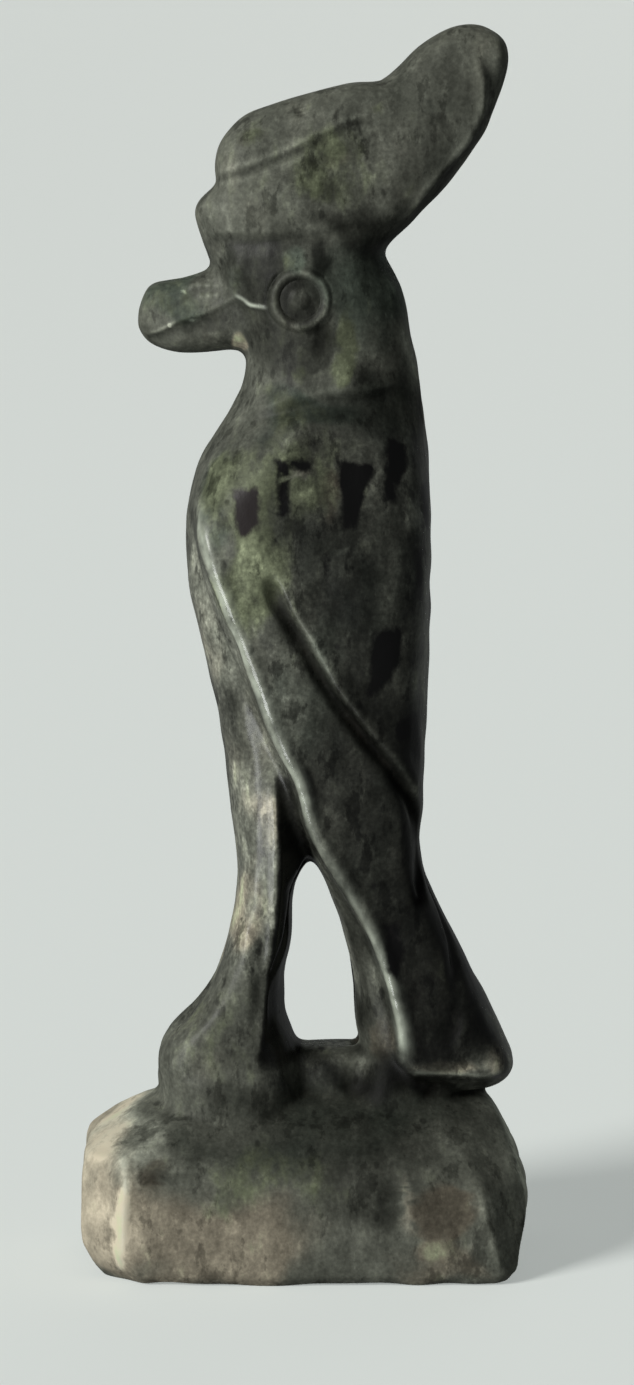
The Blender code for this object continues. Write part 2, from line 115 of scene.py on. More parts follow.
# %% [markdown]
# ## Tools for carving
#
# Carving a mesh means moving its points along their normals by an amount that depends on
# where they are. Numpy does this for all points at once and gives the same result each time,
# which a sculpting brush doesn't. Nearly every cut is a mix of two simple shapes: a smooth
# step and a round ridge.


# %% Soft steps and ridges
def soft_step(value):
    """0 below 0, 1 above 1, and a smooth rise between."""
    value = np.clip(value, 0.0, 1.0)
    return value * value * (3.0 - 2.0 * value)


def bump(distance, width):
    """A round ridge: 1 on the line and nearly 0 one width away."""
    return np.exp(-((distance / (0.55 * width)) ** 2))


print("a ridge keeps", round(float(bump(1.0, 1.0)), 2), "of its height one width away")

# %% [markdown]
# A third tool rubs relief out: each point goes part of the way to the middle of its
# neighbours, round after round. Blender's Smooth modifier does the same. On arrays each point
# can have its own share, and the same function later measures how far a point stands out.


# %% Drawing points together
def drawn_in(mesh, spots, share, rounds):
    """The points after rounds in which each goes its share of the way to its neighbours' middle."""
    pairs = np.empty(len(mesh.edges) * 2, dtype=np.int32)
    mesh.edges.foreach_get("vertices", pairs)
    pairs = pairs.reshape(-1, 2)
    pairs = pairs[(share > 0.0)[pairs].any(1)]
    places, ends = np.unique(pairs, return_inverse=True)
    a, b = ends.reshape(-1, 2).T
    count = np.bincount(a, minlength=len(places)) + np.bincount(b, minlength=len(places))
    moved = spots[places]
    for _ in range(rounds):
        for axis in range(3):
            column = moved[:, axis].copy()
            total = np.bincount(a, column[b], len(places)) + np.bincount(b, column[a], len(places))
            moved[:, axis] += share[places] * (total / count - column)
    result = spots.copy()
    result[places] = moved
    return result


# %% [markdown]
# The skin is kept as arrays, in hundredths. What is pressed into it adds up first, and one
# carve then moves the points, so that cuts which belong together don't disturb each other.

# %% The skin as arrays
FLANK_FROM = 0.15
FLANK_FADE = 0.35


class Skin:
    """The skin's points and normals, in hundredths, while it is carved."""

    def __init__(self, mesh):
        self.mesh = mesh
        self.read()

    def read(self):
        """Take the points and normals from the mesh, with nothing pressed yet."""
        spots = np.empty(len(self.mesh.vertices) * 3)
        normals = np.empty(len(self.mesh.vertices) * 3)
        self.mesh.vertices.foreach_get("co", spots)
        self.mesh.vertices.foreach_get("normal", normals)
        self.spots = spots.reshape(-1, 3)
        self.normals = normals.reshape(-1, 3)
        self.across = self.spots[:, 0] / UNIT
        self.along = self.spots[:, 1] / UNIT
        self.height = (self.spots[:, 2] - PLINTH_HEIGHT) / UNIT
        self.flank = soft_step((np.abs(self.normals[:, 0]) - FLANK_FROM) / FLANK_FADE)
        self.depth = np.zeros(len(self.spots))

    def move(self, spots):
        """Put the points at new places."""
        self.mesh.vertices.foreach_set("co", spots.ravel())
        self.mesh.update()
        self.read()

    def press(self, height, weight):
        """Raise the surface by a height in hundredths, or sink it by a negative one."""
        self.depth += height * weight

    def carve(self, part):
        """Move the points by what has been pressed for a part, and keep them above the ground."""
        print(part, "moved by up to", round(float(np.abs(self.depth).max()), 2), "hundredths")
        moved = self.spots + self.normals * (self.depth * UNIT)[:, None]
        moved[:, 2] = np.maximum(moved[:, 2], 0.0)
        self.move(moved)

    def calm(self, weight, rounds):
        """Rub out the relief at some places by drawing the points together there."""
        self.move(drawn_in(self.mesh, self.spots, 0.5 * weight, rounds))

    def about(self, along, height, half_along, half_height):
        """A weight that is 1 about a place on the flank and fades at the half lengths."""
        reach = np.hypot((self.along - along) / half_along, (self.height - height) / half_height)
        return soft_step((1.3 - reach) / 0.6)

    def between(self, low_end, high_end, low_fade, high_fade):
        """A weight for the heights between two limits, fading inwards from each."""
        rise = soft_step((self.height - low_end) / low_fade)
        return rise * soft_step((high_end - self.height) / high_fade)


skin = Skin(skin_mesh)
print("the skin is", round(float(np.ptp(skin.height)), 1), "hundredths tall with its plinth")

# %% [markdown]
# ## Lines on the flank
#
# The folds, edges and grooves are lines on the bird's sides. Each is a smooth curve through a
# few places, and a point's signed distance from it says how deep the tool bites there. A
# curve object would need projecting on both sides. The distance works on both at once.

# %% Distances from a line on the flank
FAR_AWAY = 99.0


def smooth_path(points, spacing=0.3):
    """A smooth line through the given points, as points close together."""
    table = np.array(points, dtype=float)
    travel = np.concatenate(([0.0], np.cumsum(np.hypot(*np.diff(table, axis=0).T))))
    slopes = np.gradient(table, travel, axis=0)
    places = np.linspace(0.0, travel[-1], int(travel[-1] / spacing) + 2)
    low_end = np.clip(np.searchsorted(travel, places, side="right") - 1, 0, len(travel) - 2)
    span = (travel[low_end + 1] - travel[low_end])[:, None]
    t = (places[:, None] - travel[low_end][:, None]) / span
    start = (1 + 2 * t) * (1 - t) ** 2 * table[low_end]
    start += t * (1 - t) ** 2 * span * slopes[low_end]
    end = t * t * (3 - 2 * t) * table[low_end + 1]
    end += t * t * (t - 1) * span * slopes[low_end + 1]
    return start + end


def beside(skin, line, fade, reach=4.0):
    """The distance from a line on the flank, and a weight that fades at its ends.

    The distance is positive on the right of the line as it runs, seen from +X.
    """
    path = smooth_path(line)
    flat = np.column_stack((skin.along, skin.height))
    within = (flat > path.min(0) - reach) & (flat < path.max(0) + reach)
    chosen = np.flatnonzero(within.all(1) & (skin.flank > 0.0))
    spots = flat[chosen]
    nearest = np.full(len(spots), np.inf)
    way = np.zeros(len(spots))
    travelled = 0.0
    for start, run in zip(path, np.diff(path, axis=0)):
        length = math.hypot(*run)
        away = spots - start
        share = np.clip(away @ run / length**2, 0.0, 1.0)
        distance = np.hypot(*(away - share[:, None] * run).T)
        side = np.where(run[1] * away[:, 0] >= run[0] * away[:, 1], 1.0, -1.0)
        nearer = distance < np.abs(nearest)
        nearest = np.where(nearer, distance * side, nearest)
        way = np.where(nearer, travelled + share * length, way)
        travelled += length
    ends = soft_step(way / fade) * soft_step((travelled - way) / fade)
    far = np.full(len(skin.spots), FAR_AWAY)
    weight = np.zeros(len(skin.spots))
    far[chosen] = nearest
    weight[chosen] = ends * skin.flank[chosen]
    return far, weight


def press_lines(lines, pattern=1.0):
    """Press a table of lines into the skin, each times a pattern of weights."""
    for line, fade, height, offset, width in lines:
        distance, weight = beside(skin, line, fade)
        skin.press(height, weight * bump(distance - offset, width) * pattern)


# %% [markdown]
# ## The wings
#
# Each folded wing has a thin proud front edge that sweeps from the shoulder down to the tail.
# On the real piece it catches the light as one bright line. A second line, a groove with a
# raised bank behind it, parts the small feathers from the long ones. The solid has both in
# soft form. A sharp crest and a narrow groove on the same lines bring back the tool's edge.
# Every table of carved lines is read alike: the course, how soon it fades at its ends, how
# high it stands, how far to its side, and how wide it is.

# %% Carving the wings
WING_EDGE = (
    (-9.9, 57.5), (-9.5, 53.9), (-8.5, 50.5), (-6.7, 45.4), (-4.3, 39.4), (-2.2, 33.8),
    (-0.4, 30.1), (0.7, 26.0), (2.8, 22.2), (5.6, 17.5), (7.6, 12.5), (8.9, 7.6), (9.5, 3.0),
)
COVERT_EDGE = (
    (-3.6, 50.0), (-2.6, 47.2), (-0.1, 42.9), (2.4, 38.5), (5.6, 34.3), (8.8, 30.2),
    (10.3, 26.5), (10.8, 22.3), (10.7, 18.0),
)
LEG_EDGE = (
    (-2.9, 31.0), (-2.6, 26.0), (-2.6, 20.9), (-2.9, 16.2), (-3.4, 12.0), (-3.8, 8.0), (-4.4, 3.5),
)

WING_LINES = (
    (WING_EDGE, 6.0, 0.40, -0.5, 1.25),
    (COVERT_EDGE, 2.5, -0.14, 0.0, 1.3),
    (COVERT_EDGE, 2.5, 0.08, -1.0, 0.8),
    (LEG_EDGE, 2.5, 0.14, 0.0, 0.9),
)
SHOULDER = (-9.6, 57.0, 2.0, 3.0)
SHOULDER_ROUNDS = 60

skin.calm(skin.about(*SHOULDER), SHOULDER_ROUNDS)
press_lines(WING_LINES)
skin.carve("wings")

# %% [markdown]
# ## The eye
#
# The eye is a round boss in a sunken disc inside a fine raised ring. Pressed into the cheek as
# it is, the ring would be deep on one side and faint on the other, so it is set into a gently
# curved sheet fitted through the cheek around it. The skin near the mouth and the ridge in
# front of the eye is rubbed calm first, because both are cut anew on it.

# %% Setting the eye
EYE = (-0.4, 74.6)
EYE_RING = 2.45
EYE_BOSS = 1.1
EYE_REACH = 3.3
CHEEK_REACH = 4.3
RING_HEIGHT = 0.22
DISC_DEPTH = 0.16
BOSS_HEIGHT = 0.17
HALO_DEPTH = 0.05
MOUTH_ROUNDS = 70
MOUTH = (
    (-15.0, 71.4), (-13.5, 71.8), (-12.5, 72.3), (-11.5, 72.8), (-10.5, 73.1), (-9.1, 73.5),
    (-7.8, 74.1), (-6.5, 74.9),
)
LORE = ((-6.6, 75.1), (-5.6, 74.6), (-5.1, 74.2), (-4.1, 74.0), (-3.3, 73.8))


def curved_terms(chosen):
    """The terms of a gently curved sheet through the chosen points, measured from the eye."""
    a = skin.along[chosen] - EYE[0]
    h = skin.height[chosen] - EYE[1]
    return np.column_stack((np.ones(len(a)), a, h, a * a, a * h, h * h))


mouth, mouth_weight = beside(skin, MOUTH, 0.3)
lore, lore_weight = beside(skin, LORE, 0.3)
rubbed = np.maximum(mouth_weight * bump(mouth, 2.4), lore_weight * bump(lore, 3.2))
skin.calm(rubbed, MOUTH_ROUNDS)
away = np.hypot(skin.along - EYE[0], skin.height - EYE[1])
relief = RING_HEIGHT * bump(away - EYE_RING, 0.6)
relief -= DISC_DEPTH * soft_step((EYE_RING - 0.3 - away) / 0.3)
halo = HALO_DEPTH * bump(away - EYE_RING - 0.6, 0.5)
relief += BOSS_HEIGHT * soft_step((EYE_BOSS - away) / 0.6) - halo
settled = soft_step((EYE_REACH - away) / 0.4)
for side in (1.0, -1.0):
    near = (skin.across * side > 0.0) & (skin.flank > 0.2)
    cheek = near & (away > EYE_REACH - 0.2) & (away < CHEEK_REACH)
    eye = near & (away < EYE_REACH)
    shares = np.linalg.lstsq(curved_terms(cheek), skin.across[cheek] * side, rcond=None)[0]
    target = curved_terms(eye) @ shares + relief[eye]
    gap = target - skin.across[eye] * side
    skin.spots[eye, 0] += side * settled[eye] * gap * UNIT
    print("eye set, largest change", round(float(np.abs(gap).max()), 2), "hundredths")
skin.move(skin.spots)

# %% [markdown]
# ## The face
#
# In front of the eye a short bright ridge joins the mouth, and the beak has a worn cutting
# edge and two rows of tiny beads where the bare skin begins. A collar line closes the head
# below. All of it is a fraction of a millimetre deep, so it is carved here on the fine skin
# and not in the solid. The beads are a ridge times a cosine, far lighter than forty balls.

# %% Carving the face
COLLAR = ((-7.2, 62.6), (-4.7, 64.1), (-1.8, 65.0), (1.1, 65.7), (5.9, 66.2), (9.6, 66.8))
BEAD_LINE = ((-11.2, 75.4), (-10.4, 75.9), (-9.5, 76.0), (-8.2, 75.9), (-7.2, 75.9))
LOWER_BEADS = ((-10.2, 74.8), (-8.8, 75.0), (-7.1, 75.1))
FACE_EDGE = ((-5.6, 78.6), (-6.4, 77.2), (-6.6, 75.8), (-6.7, 74.6), (-6.2, 72.0), (-5.4, 70.0))
BEAD_SPACING = 0.8
MOUTH_LINES = (
    (MOUTH, 0.6, 0.10, 0.0, 0.5),
    (MOUTH, 0.6, -0.10, 0.6, 0.7),
    (LORE, 0.5, 0.14, 0.0, 0.4),
)
BEAD_LINES = ((BEAD_LINE, 0.5, 0.12, 0.0, 0.5), (LOWER_BEADS, 0.5, 0.12, 0.0, 0.5))
FACE_LINES = (
    (FACE_EDGE, 1.0, 0.10, 0.0, 0.8),
    (COLLAR, 2.0, 0.16, 0.2, 1.2),
    (COLLAR, 2.0, 0.08, -0.4, 0.6),
)

press_lines(MOUTH_LINES)
press_lines(BEAD_LINES, 0.5 + 0.5 * np.cos(skin.along * math.tau / BEAD_SPACING))
press_lines(FACE_LINES)
skin.carve("face and collar")

# %% [markdown]
# ## The crown
#
# The tall bulb of the white crown sits in the red crown, and only a shallow double line
# shows where one ends. The back of the red crown has a flat band with a fine edge. A fold
# runs where the crown meets the head. The same table of lines serves again, after the
# rounded step between crown and forehead has been rubbed calm.

# %% Carving the crown
RIM = ((-8.7, 84.9), (-4.6, 85.8), (-1.8, 86.9), (1.7, 88.5), (4.2, 89.7), (6.6, 90.4))
RIM_GAP = 1.25
CROWN_BASE = ((-9.0, 79.8), (-7.8, 79.9), (-5.5, 80.0), (-3.3, 80.0), (-1.1, 80.1), (3.0, 80.2))
CROWN_BAND = (
    (15.4, 97.2), (16.2, 94.6), (16.2, 91.8), (15.4, 89.6), (13.3, 87.0), (11.4, 84.8),
    (9.1, 81.4),
)
CROWN_LINES = (
    (RIM, 2.0, 0.22, 0.0, 1.3),
    (RIM, 2.0, 0.10, -RIM_GAP, 0.6),
    (RIM, 2.0, -0.06, -0.6, 0.6),
    (CROWN_BASE, 0.8, -0.08, 0.0, 0.9),
    (CROWN_BASE, 0.8, 0.05, -0.8, 0.8),
    (CROWN_BAND, 2.0, 0.12, 0.0, 0.8),
)
FOREHEAD = (-3.0, 79.4, 5.5, 1.6)
FOREHEAD_ROUNDS = 40

outwards = soft_step(skin.across * skin.normals[:, 0])
skin.calm(skin.about(*FOREHEAD) * outwards, FOREHEAD_ROUNDS)
press_lines(CROWN_LINES)
skin.carve("crown")

# %% [markdown]
# ## The feet and the plinth's edge
#
# The feet are flat on their outer sides and turn to the front quite sharply, so there the
# rounded solid is squared up by moving points outwards only. A bevel can't do this on a
# remeshed skin, which has no single edge to choose. The plinth has an upright edge between its
# side and its canted front corner, raised here as a narrow ridge.

# %% Squaring the feet and the plinth
FOOT_SIDE = 7.5
FOOT_BACK = -4.0
SQUARENESS = 1.5
PLINTH_EDGE = (
    (-17.0, -4.2), (-16.5, -6.5), (-16.6, -9.3), (-16.8, -11.5), (-17.1, -14.0), (-17.2, -15.6),
)

foot = soft_step((FOOT_BACK - skin.along) / 1.5) * skin.between(1.0, 19.0, 3.0, 6.0)
filled = 1.0 - (1.0 - np.clip(np.abs(skin.across) / FOOT_SIDE, 0.0, 1.0)) ** SQUARENESS
gain = foot * np.maximum(filled * FOOT_SIDE - np.abs(skin.across), 0.0)
skin.spots[:, 0] += gain * np.sign(skin.across) * UNIT
press_lines(((PLINTH_EDGE, 1.0, 0.22, 0.0, 1.0),))
skin.carve("plinth's edge")
print("feet squared by up to", round(float(gain.max()), 2), "hundredths")

# %% [markdown]
# ## The tail
#
# The tail ends in a small ledge above the plinth, and two faint lines run down its flank to
# the tip. The narrow corner where the tail meets the plinth came out of the remeshing a
# little uneven, so it is rubbed calm first.

# %% Carving the tail
TAIL_LEDGE = ((10.0, 2.6), (12.7, 2.5), (14.8, 2.4), (17.4, 2.2), (19.2, 2.6))
TAIL_LINE = ((13.6, 4.0), (14.1, 5.2), (15.6, 8.0), (17.0, 9.6))
TAIL_BAND = ((11.8, 19.3), (13.4, 14.8), (14.3, 10.0), (14.3, 6.2), (13.6, 3.6))
TAIL_LINES = (
    (TAIL_LEDGE, 1.5, 0.08, 0.0, 0.6),
    (TAIL_LEDGE, 1.5, -0.25, 1.2, 1.5),
    (TAIL_LINE, 1.5, 0.06, 0.0, 0.8),
    (TAIL_BAND, 1.5, -0.08, 0.0, 0.8),
)
TAIL_CORNER = (6.4, 1.6, 2.2, 2.2)
CORNER_ROUNDS = 120

skin.calm(skin.about(*TAIL_CORNER), CORNER_ROUNDS)
press_lines(TAIL_LINES)
skin.carve("tail")

# %% [markdown]
# ## Hand work
#
# No hand-carved surface is quite true, and long, shallow swells make its highlights wander.
# A Displace modifier with a cloud texture would do. A sum of random waves does it without a
# texture, gives the same result each time, and serves again for the borders of the patches.


# %% Swells
def waves(spots, length, seed, count=36):
    """A smooth random field with waves about one length long and a spread of about 1."""
    dice = np.random.default_rng(seed)
    ways = dice.normal(size=(count, 3))
    ways /= np.linalg.norm(ways, axis=1)[:, None]
    rates = math.tau / length * dice.uniform(0.7, 1.4, count)
    phases = dice.uniform(0.0, math.tau, count)
    field = np.zeros(len(spots))
    for way, rate, phase in zip(ways, rates, phases):
        field += np.cos(spots @ (way * rate) + phase)
    return field * math.sqrt(2.0 / count)


# Each swell: how high, how long, its seed.
SWELLS = ((0.10, 13.0, 1), (0.035, 4.5, 2))

for swell_height, length, seed in SWELLS:
    skin.press(swell_height, waves(skin.spots / UNIT, length, seed))
skin.carve("swells")

# %% [markdown]
# A few larger losses show on the real piece and are listed one by one: a nick on the crown, a
# dent below the throat, a notch in front of the foot, one behind the leg, and a knock at each
# end of the plinth. A ball-shaped dent does each.

# %% Larger losses
# Each loss: behind the middle, height, across, radius, depth.
NICKS = (
    (5.2, 95.6, 0.0, 1.5, 0.5),
    (-9.9, 60.2, 0.0, 1.2, 0.4),
    (-14.0, 2.2, 2.2, 1.4, 0.45),
    (-3.9, 18.5, -2.0, 1.5, 0.3),
    (-19.6, -3.5, 7.5, 1.6, 0.3),
    (19.8, -9.5, -8.5, 1.8, 0.35),
)

for along, height, across, radius, depth in NICKS:
    offsets = (skin.along - along, skin.height - height, skin.across - across)
    distance = np.linalg.norm(np.column_stack(offsets), axis=1)
    skin.press(-depth, soft_step((radius - distance) / radius))
skin.carve("larger losses")

# %% [markdown]
# ## The finished mesh
#
# The carved skin has some seven hundred thousand triangles. Decimating it keeps them where the
# surface turns and drops them where it is calm, which is what a kept mesh should look like. The
# fine lines of the beak and the eye are painted on points, so on the face each triangle is cut
# in four again.

# %% The finished stone
MOST_TRIANGLES = 196000
COARSE_TRIANGLES = 150000
FACE_LOW = 69.5
FACE_HIGH = 80.5
FACE_BACK = 2.6

share = min(1.0, COARSE_TRIANGLES / (2.0 * len(skin.mesh.polygons)))
stone_mesh = applied(skin.mesh, ("DECIMATE", {"ratio": share}))
skin = Skin(stone_mesh)
on_face = (skin.flank > 0.6) & (skin.along < FACE_BACK)
on_face &= (skin.height > FACE_LOW) & (skin.height < FACE_HIGH)
fine = bmesh.new()
fine.from_mesh(stone_mesh)
face_edges = [edge for edge in fine.edges if all(on_face[vert.index] for vert in edge.verts)]
bmesh.ops.subdivide_edges(fine, edges=face_edges, cuts=1, use_grid_fill=True)
bmesh.ops.triangulate(fine, faces=[face for face in fine.faces if len(face.verts) > 3])
fine.to_mesh(stone_mesh)
fine.free()
stone_mesh.name = "carved_stone"
stone_mesh.materials.clear()
stone_mesh.shade_smooth()
stone = bpy.data.objects.new("carved_stone", stone_mesh)
bpy.context.scene.collection.objects.link(stone)
skin = Skin(stone_mesh)
triangles = sum(len(p.vertices) - 2 for p in stone_mesh.polygons)
print("the carved stone has", triangles, "triangles of", MOST_TRIANGLES, "allowed")

# %% [markdown]
# ## Where the stone is pale, warm or yellow
#
# The stone changes from nearly black at the back to cream on the legs. Painting this as an
# image would tie it to one view. Instead each point of the mesh carries a few numbers: how
# much lighter or darker than the middle tone it is, in doublings, how warm, and how yellow.
# They come from soft patches. The far side uses the same patches, shifted and bent otherwise,
# so that the two sides are related but not twins.
# Some patches are painted light and shade, wholly or in part: light on the back edge and the plinth
# front, shade below the collar, under the beak, on the plinth's top and under the tail, the gap and
# the ledge.

# %% Patches of tone
# Each patch: behind the middle, height, half its length both ways, doublings, warmth, yellow.
PATCHES = {
    "dark back": (7.6, 49.0, 4.6, 17.0, -1.4, -0.2, 0.0),
    "dark flank": (1.6, 50.5, 4.2, 8.5, -1.2, -0.2, 0.1),
    # Painted light along the back edge, which turns away from the lamp.
    "painted light on the back edge": (11.2, 44.0, 1.5, 13.0, 1.1, 0.0, 0.0),
    # Painted shade below the collar's step.
    "painted shade below the collar": (6.4, 63.7, 5.2, 3.2, -1.5, -0.3, 0.0),
    "dark wing": (6.0, 31.0, 5.0, 11.0, -2.25, -0.1, 0.0),
    "dark tail": (12.4, 12.0, 5.0, 10.5, -3.6, -0.1, 0.0),
    "tail foot": (14.6, 6.0, 3.6, 3.0, -1.0, 0.0, 0.0),
    "dark cheek": (5.6, 75.4, 3.6, 4.5, -1.1, -1.0, 0.0),
    "breast": (-4.6, 56.4, 4.0, 7.0, 0.0, 0.0, 0.8),
    "lower breast": (-5.2, 48.6, 2.7, 4.0, 0.9, 0.0, 0.9),
    "between the grains": (0.6, 58.6, 2.6, 3.4, -0.7, 0.2, 0.4),
    "nape of the collar": (-0.6, 63.9, 4.6, 1.6, -0.9, -0.9, 0.5),
    "crown front": (-4.9, 82.6, 4.1, 2.3, 0.15, 0.0, 0.1),
    "crown middle": (2.4, 86.2, 3.4, 3.4, -0.3, 0.0, 0.7),
    "crown foot": (4.4, 81.1, 4.4, 1.3, -1.6, 0.0, 0.0),
    "white crown front": (-4.9, 88.9, 3.4, 2.2, 0.1, 0.0, 0.2),
    "crown back": (11.2, 86.5, 2.8, 4.6, -0.7, 0.0, 0.0),
    # Painted shade under the beak.
    "painted shade under the beak": (-9.5, 71.3, 3.6, 1.0, -0.7, 0.0, 0.0),
    "body's middle": (3.2, 49.5, 3.4, 5.0, -0.85, 0.0, 0.0),
    "crown tip": (14.0, 95.1, 3.6, 4.1, -0.45, 0.0, 0.0),
    "head": (-3.4, 76.5, 3.6, 3.2, -1.8, -0.1, 0.1),
    "neck": (-1.8, 70.0, 3.4, 3.0, -1.4, 0.0, 0.2),
    "beak": (-12.8, 73.6, 2.6, 2.4, -0.2, -0.9, 0.4),
    # Painted shade at the beak's root, on its underside.
    "painted shade at the beak root": (-7.8, 73.0, 2.0, 0.9, -1.0, 0.0, 0.0),
    "front strip": (-9.4, 44.5, 1.4, 8.5, 0.8, 0.2, 0.0),
    "strip over the leg": (-5.4, 35.0, 2.0, 4.2, -0.9, 0.1, 0.0),
    "leg": (-5.2, 24.5, 2.6, 12.0, 0.75, 0.1, 0.1),
    "cream above": (-2.9, 27.4, 1.8, 2.4, 1.4, 0.6, 0.15),
    "cream below": (-5.0, 16.8, 1.7, 3.0, 1.0, 0.7, 0.3),
    "grey vein": (-4.9, 23.4, 0.7, 3.4, -0.7, 0.2, -0.4),
    "front foot": (-8.2, 6.5, 4.6, 4.0, -0.25, 0.1, 0.3),
    # Painted shade on the plinth's top under the tail, the gap and the ledge.
    "painted shade under the tail": (6.8, 0.9, 4.0, 2.0, -2.4, 0.0, 0.0),
    "painted shade under the gap": (1.6, 3.2, 2.6, 2.0, -1.6, 0.0, 0.0),
    "painted shade under the ledge": (13.0, 0.4, 5.0, 1.3, -1.2, 0.0, 0.0),
    "front slope": (-16.5, -3.2, 4.0, 2.0, 1.4, 0.1, 0.1),
    "under the groove": (-0.2, 37.5, 2.4, 7.0, -0.2, -0.3, 0.0),
    # Partly cream stone, partly painted light where the front faces the lamp.
    "plinth front, cream with painted light": (-19.5, -8.6, 3.8, 6.6, 1.65, 0.8, 0.0),
    "plinth low": (-9.7, -12.0, 9.0, 4.6, 0.9, 1.2, 0.0),
    "plinth green": (-3.5, -6.2, 6.0, 3.0, -0.05, -0.2, 0.6),
    # Partly dark stone, partly painted shade under the bird.
    "plinth top, dark stone with painted shade": (2.4, -1.2, 12.0, 3.6, -1.4, -0.3, 0.0),
    "plinth dark": (6.2, -6.4, 6.0, 3.4, -0.9, 0.0, 0.0),
    "plinth back": (19.6, -8.0, 2.0, 7.3, 1.2, -0.1, 0.0),
    "plinth corner": (13.0, -14.3, 5.0, 1.4, 0.6, 0.8, 0.3),
}

print("planned", len(PATCHES), "patches")

# %% [markdown]
# Smaller marks are set on the flanks only: specks and short streaks that a viewer knows the
# piece by. They have the same numbers as the patches, but keep their places and crisper edges.
# A few are painted light: on the forehead's front, and highlights on two beads of the mouth and
# on a fleck beside a grain.

# %% Marks
# Each mark: behind the middle, height, half its length both ways, doublings, warmth, yellow.
MARKS = {
    "behind the eye": (1.5, 78.3, 0.8, 1.4, -2.0, 0.0, 0.0),
    "green shoulder": (-8.0, 56.0, 1.4, 3.6, -0.2, -1.0, 0.3),
    "grey by the grains": (-0.6, 59.0, 0.8, 0.6, 0.9, 0.3, -0.6),
    "light by the grains": (0.0, 56.9, 0.6, 0.6, 1.9, 0.3, 0.2),
    "tan by the grains": (2.3, 56.6, 0.9, 2.2, 0.5, 0.9, 0.2),
    "cream edge": (-17.3, -11.5, 0.45, 3.4, 1.0, 0.8, 0.5),
    "above the eye": (-1.0, 78.1, 0.9, 1.1, 0.9, -0.7, 0.3),
    "bar below the eye": (1.7, 70.2, 0.8, 2.0, -1.3, 0.0, 0.0),
    "cheek strip": (3.8, 70.3, 0.9, 2.8, 0.2, 0.0, 0.9),
    "cheek strip's foot": (3.0, 67.8, 1.0, 1.3, 0.6, 0.0, 0.8),
    "collar patch": (-0.1, 67.5, 1.8, 0.7, 0.7, 0.2, 0.5),
    "face edge": (-6.5, 76.4, 0.5, 1.2, 0.8, -0.2, 0.4),
    # Painted light on the forehead's front face, which faces the lamp.
    "painted light on the forehead's front": (-8.2, 79.0, 0.6, 0.9, 0.6, 0.2, 0.2),
    "crown's high fleck": (6.9, 92.1, 0.7, 0.6, 0.5, 0.3, 0.6),
    "crown's middle fleck": (3.0, 87.7, 0.9, 1.0, 0.6, 0.6, 0.2),
    "crown's low fleck": (0.8, 84.3, 0.5, 1.1, 0.6, 0.3, 0.4),
    "crown's front spot": (-4.8, 89.5, 0.9, 0.7, -0.5, 0.2, 0.2),
    "crown's top spot": (-0.7, 91.5, 0.6, 0.5, -1.1, 0.0, 0.0),
    "crown's middle spot": (5.2, 87.8, 0.9, 0.7, -0.5, 0.0, 0.0),
    "crown's low spot": (2.2, 84.2, 0.7, 0.9, -0.6, 0.0, 0.0),
    "neck spot": (5.4, 67.8, 1.3, 1.1, -0.9, 0.0, 0.0),
    "throat": (-6.1, 70.5, 0.55, 1.1, 2.2, 1.0, 0.5),
    # Painted highlights on two beads of the mouth line.
    "painted highlight on a mouth bead": (-12.5, 72.3, 0.25, 0.2, 2.2, 0.0, 0.0),
    "painted highlight on a lower bead": (-10.5, 72.7, 0.2, 0.2, 1.6, 0.0, 0.0),
    "upper bead": (-11.2, 75.4, 0.25, 0.2, 1.6, 0.0, 0.0),
    # A painted highlight beside a grain.
    "fleck": (3.6, 51.6, 0.35, 0.35, 1.6, 0.0, 0.0),
    "tail's front foot": (7.4, 5.6, 1.2, 2.0, 1.0, 0.7, 0.2),
    "ledge": (13.0, 3.1, 3.0, 0.6, 1.6, 0.6, 0.2),
    "ledge tip": (18.0, 3.8, 0.9, 1.3, 1.6, 0.5, 0.1),
    "dark spot": (-14.1, -6.0, 1.0, 0.9, -1.5, 0.4, 0.0),
    "brown square": (12.8, -9.5, 2.4, 2.2, -0.5, 1.4, 0.0),
    "light streak": (9.4, -8.8, 0.4, 2.6, 1.3, 0.5, 0.2),
    "dark streak": (7.4, -9.1, 0.7, 2.6, -1.0, 0.0, 0.0),
    "cream corner": (11.9, -13.0, 1.4, 0.8, 0.7, 0.8, 0.3),
}

print("planned", len(MARKS), "marks")

# %% [markdown]
# The borders of the patches are bent by random waves, so that none looks like an ellipse. At
# the ends of the plinth the bending stops, or it would smear their edges.

# %% Laying patches and marks
PLINTH_FRONT = -19.5
PLINTH_BACK = 19.6
SIDE_BLEND = 3.0
BEND_LENGTH = 7.0
MARK_BEND_LENGTH = 2.0
# How far out a patch or a mark ends, and over how much of that it fades, in half lengths.
PATCH_BORDER = (1.55, 1.1)
MARK_BORDER = (1.5, 0.8)

hundredths = skin.spots / UNIT
far_side = soft_step(0.5 - skin.across / SIDE_BLEND)
bend_along = 0.8 * waves(hundredths, BEND_LENGTH, 11)
bend_along += 2.2 * far_side * np.sin(skin.height / 9.0)
bend_height = 0.9 * waves(hundredths, BEND_LENGTH, 12)
bend_height += 2.5 * far_side * np.cos(skin.along / 7.0)
bent_along = np.clip(skin.along + bend_along, PLINTH_FRONT, PLINTH_BACK)
shift = 0.15 * waves(hundredths, MARK_BEND_LENGTH, 14) + 1.5 * far_side
tone, warmth, yellow = np.zeros((3, len(skin.spots)))


def lay(patches, along, height, border, fade, where):
    """Add each patch to the tone, warmth and yellow, fading out across its border."""
    for middle, level, half_along, half_height, *amounts in patches.values():
        reach = np.hypot((along - middle) / half_along, (height - level) / half_height)
        weight = where * soft_step((border - reach) / fade)
        for layer, amount in zip((tone, warmth, yellow), amounts):
            layer += amount * weight


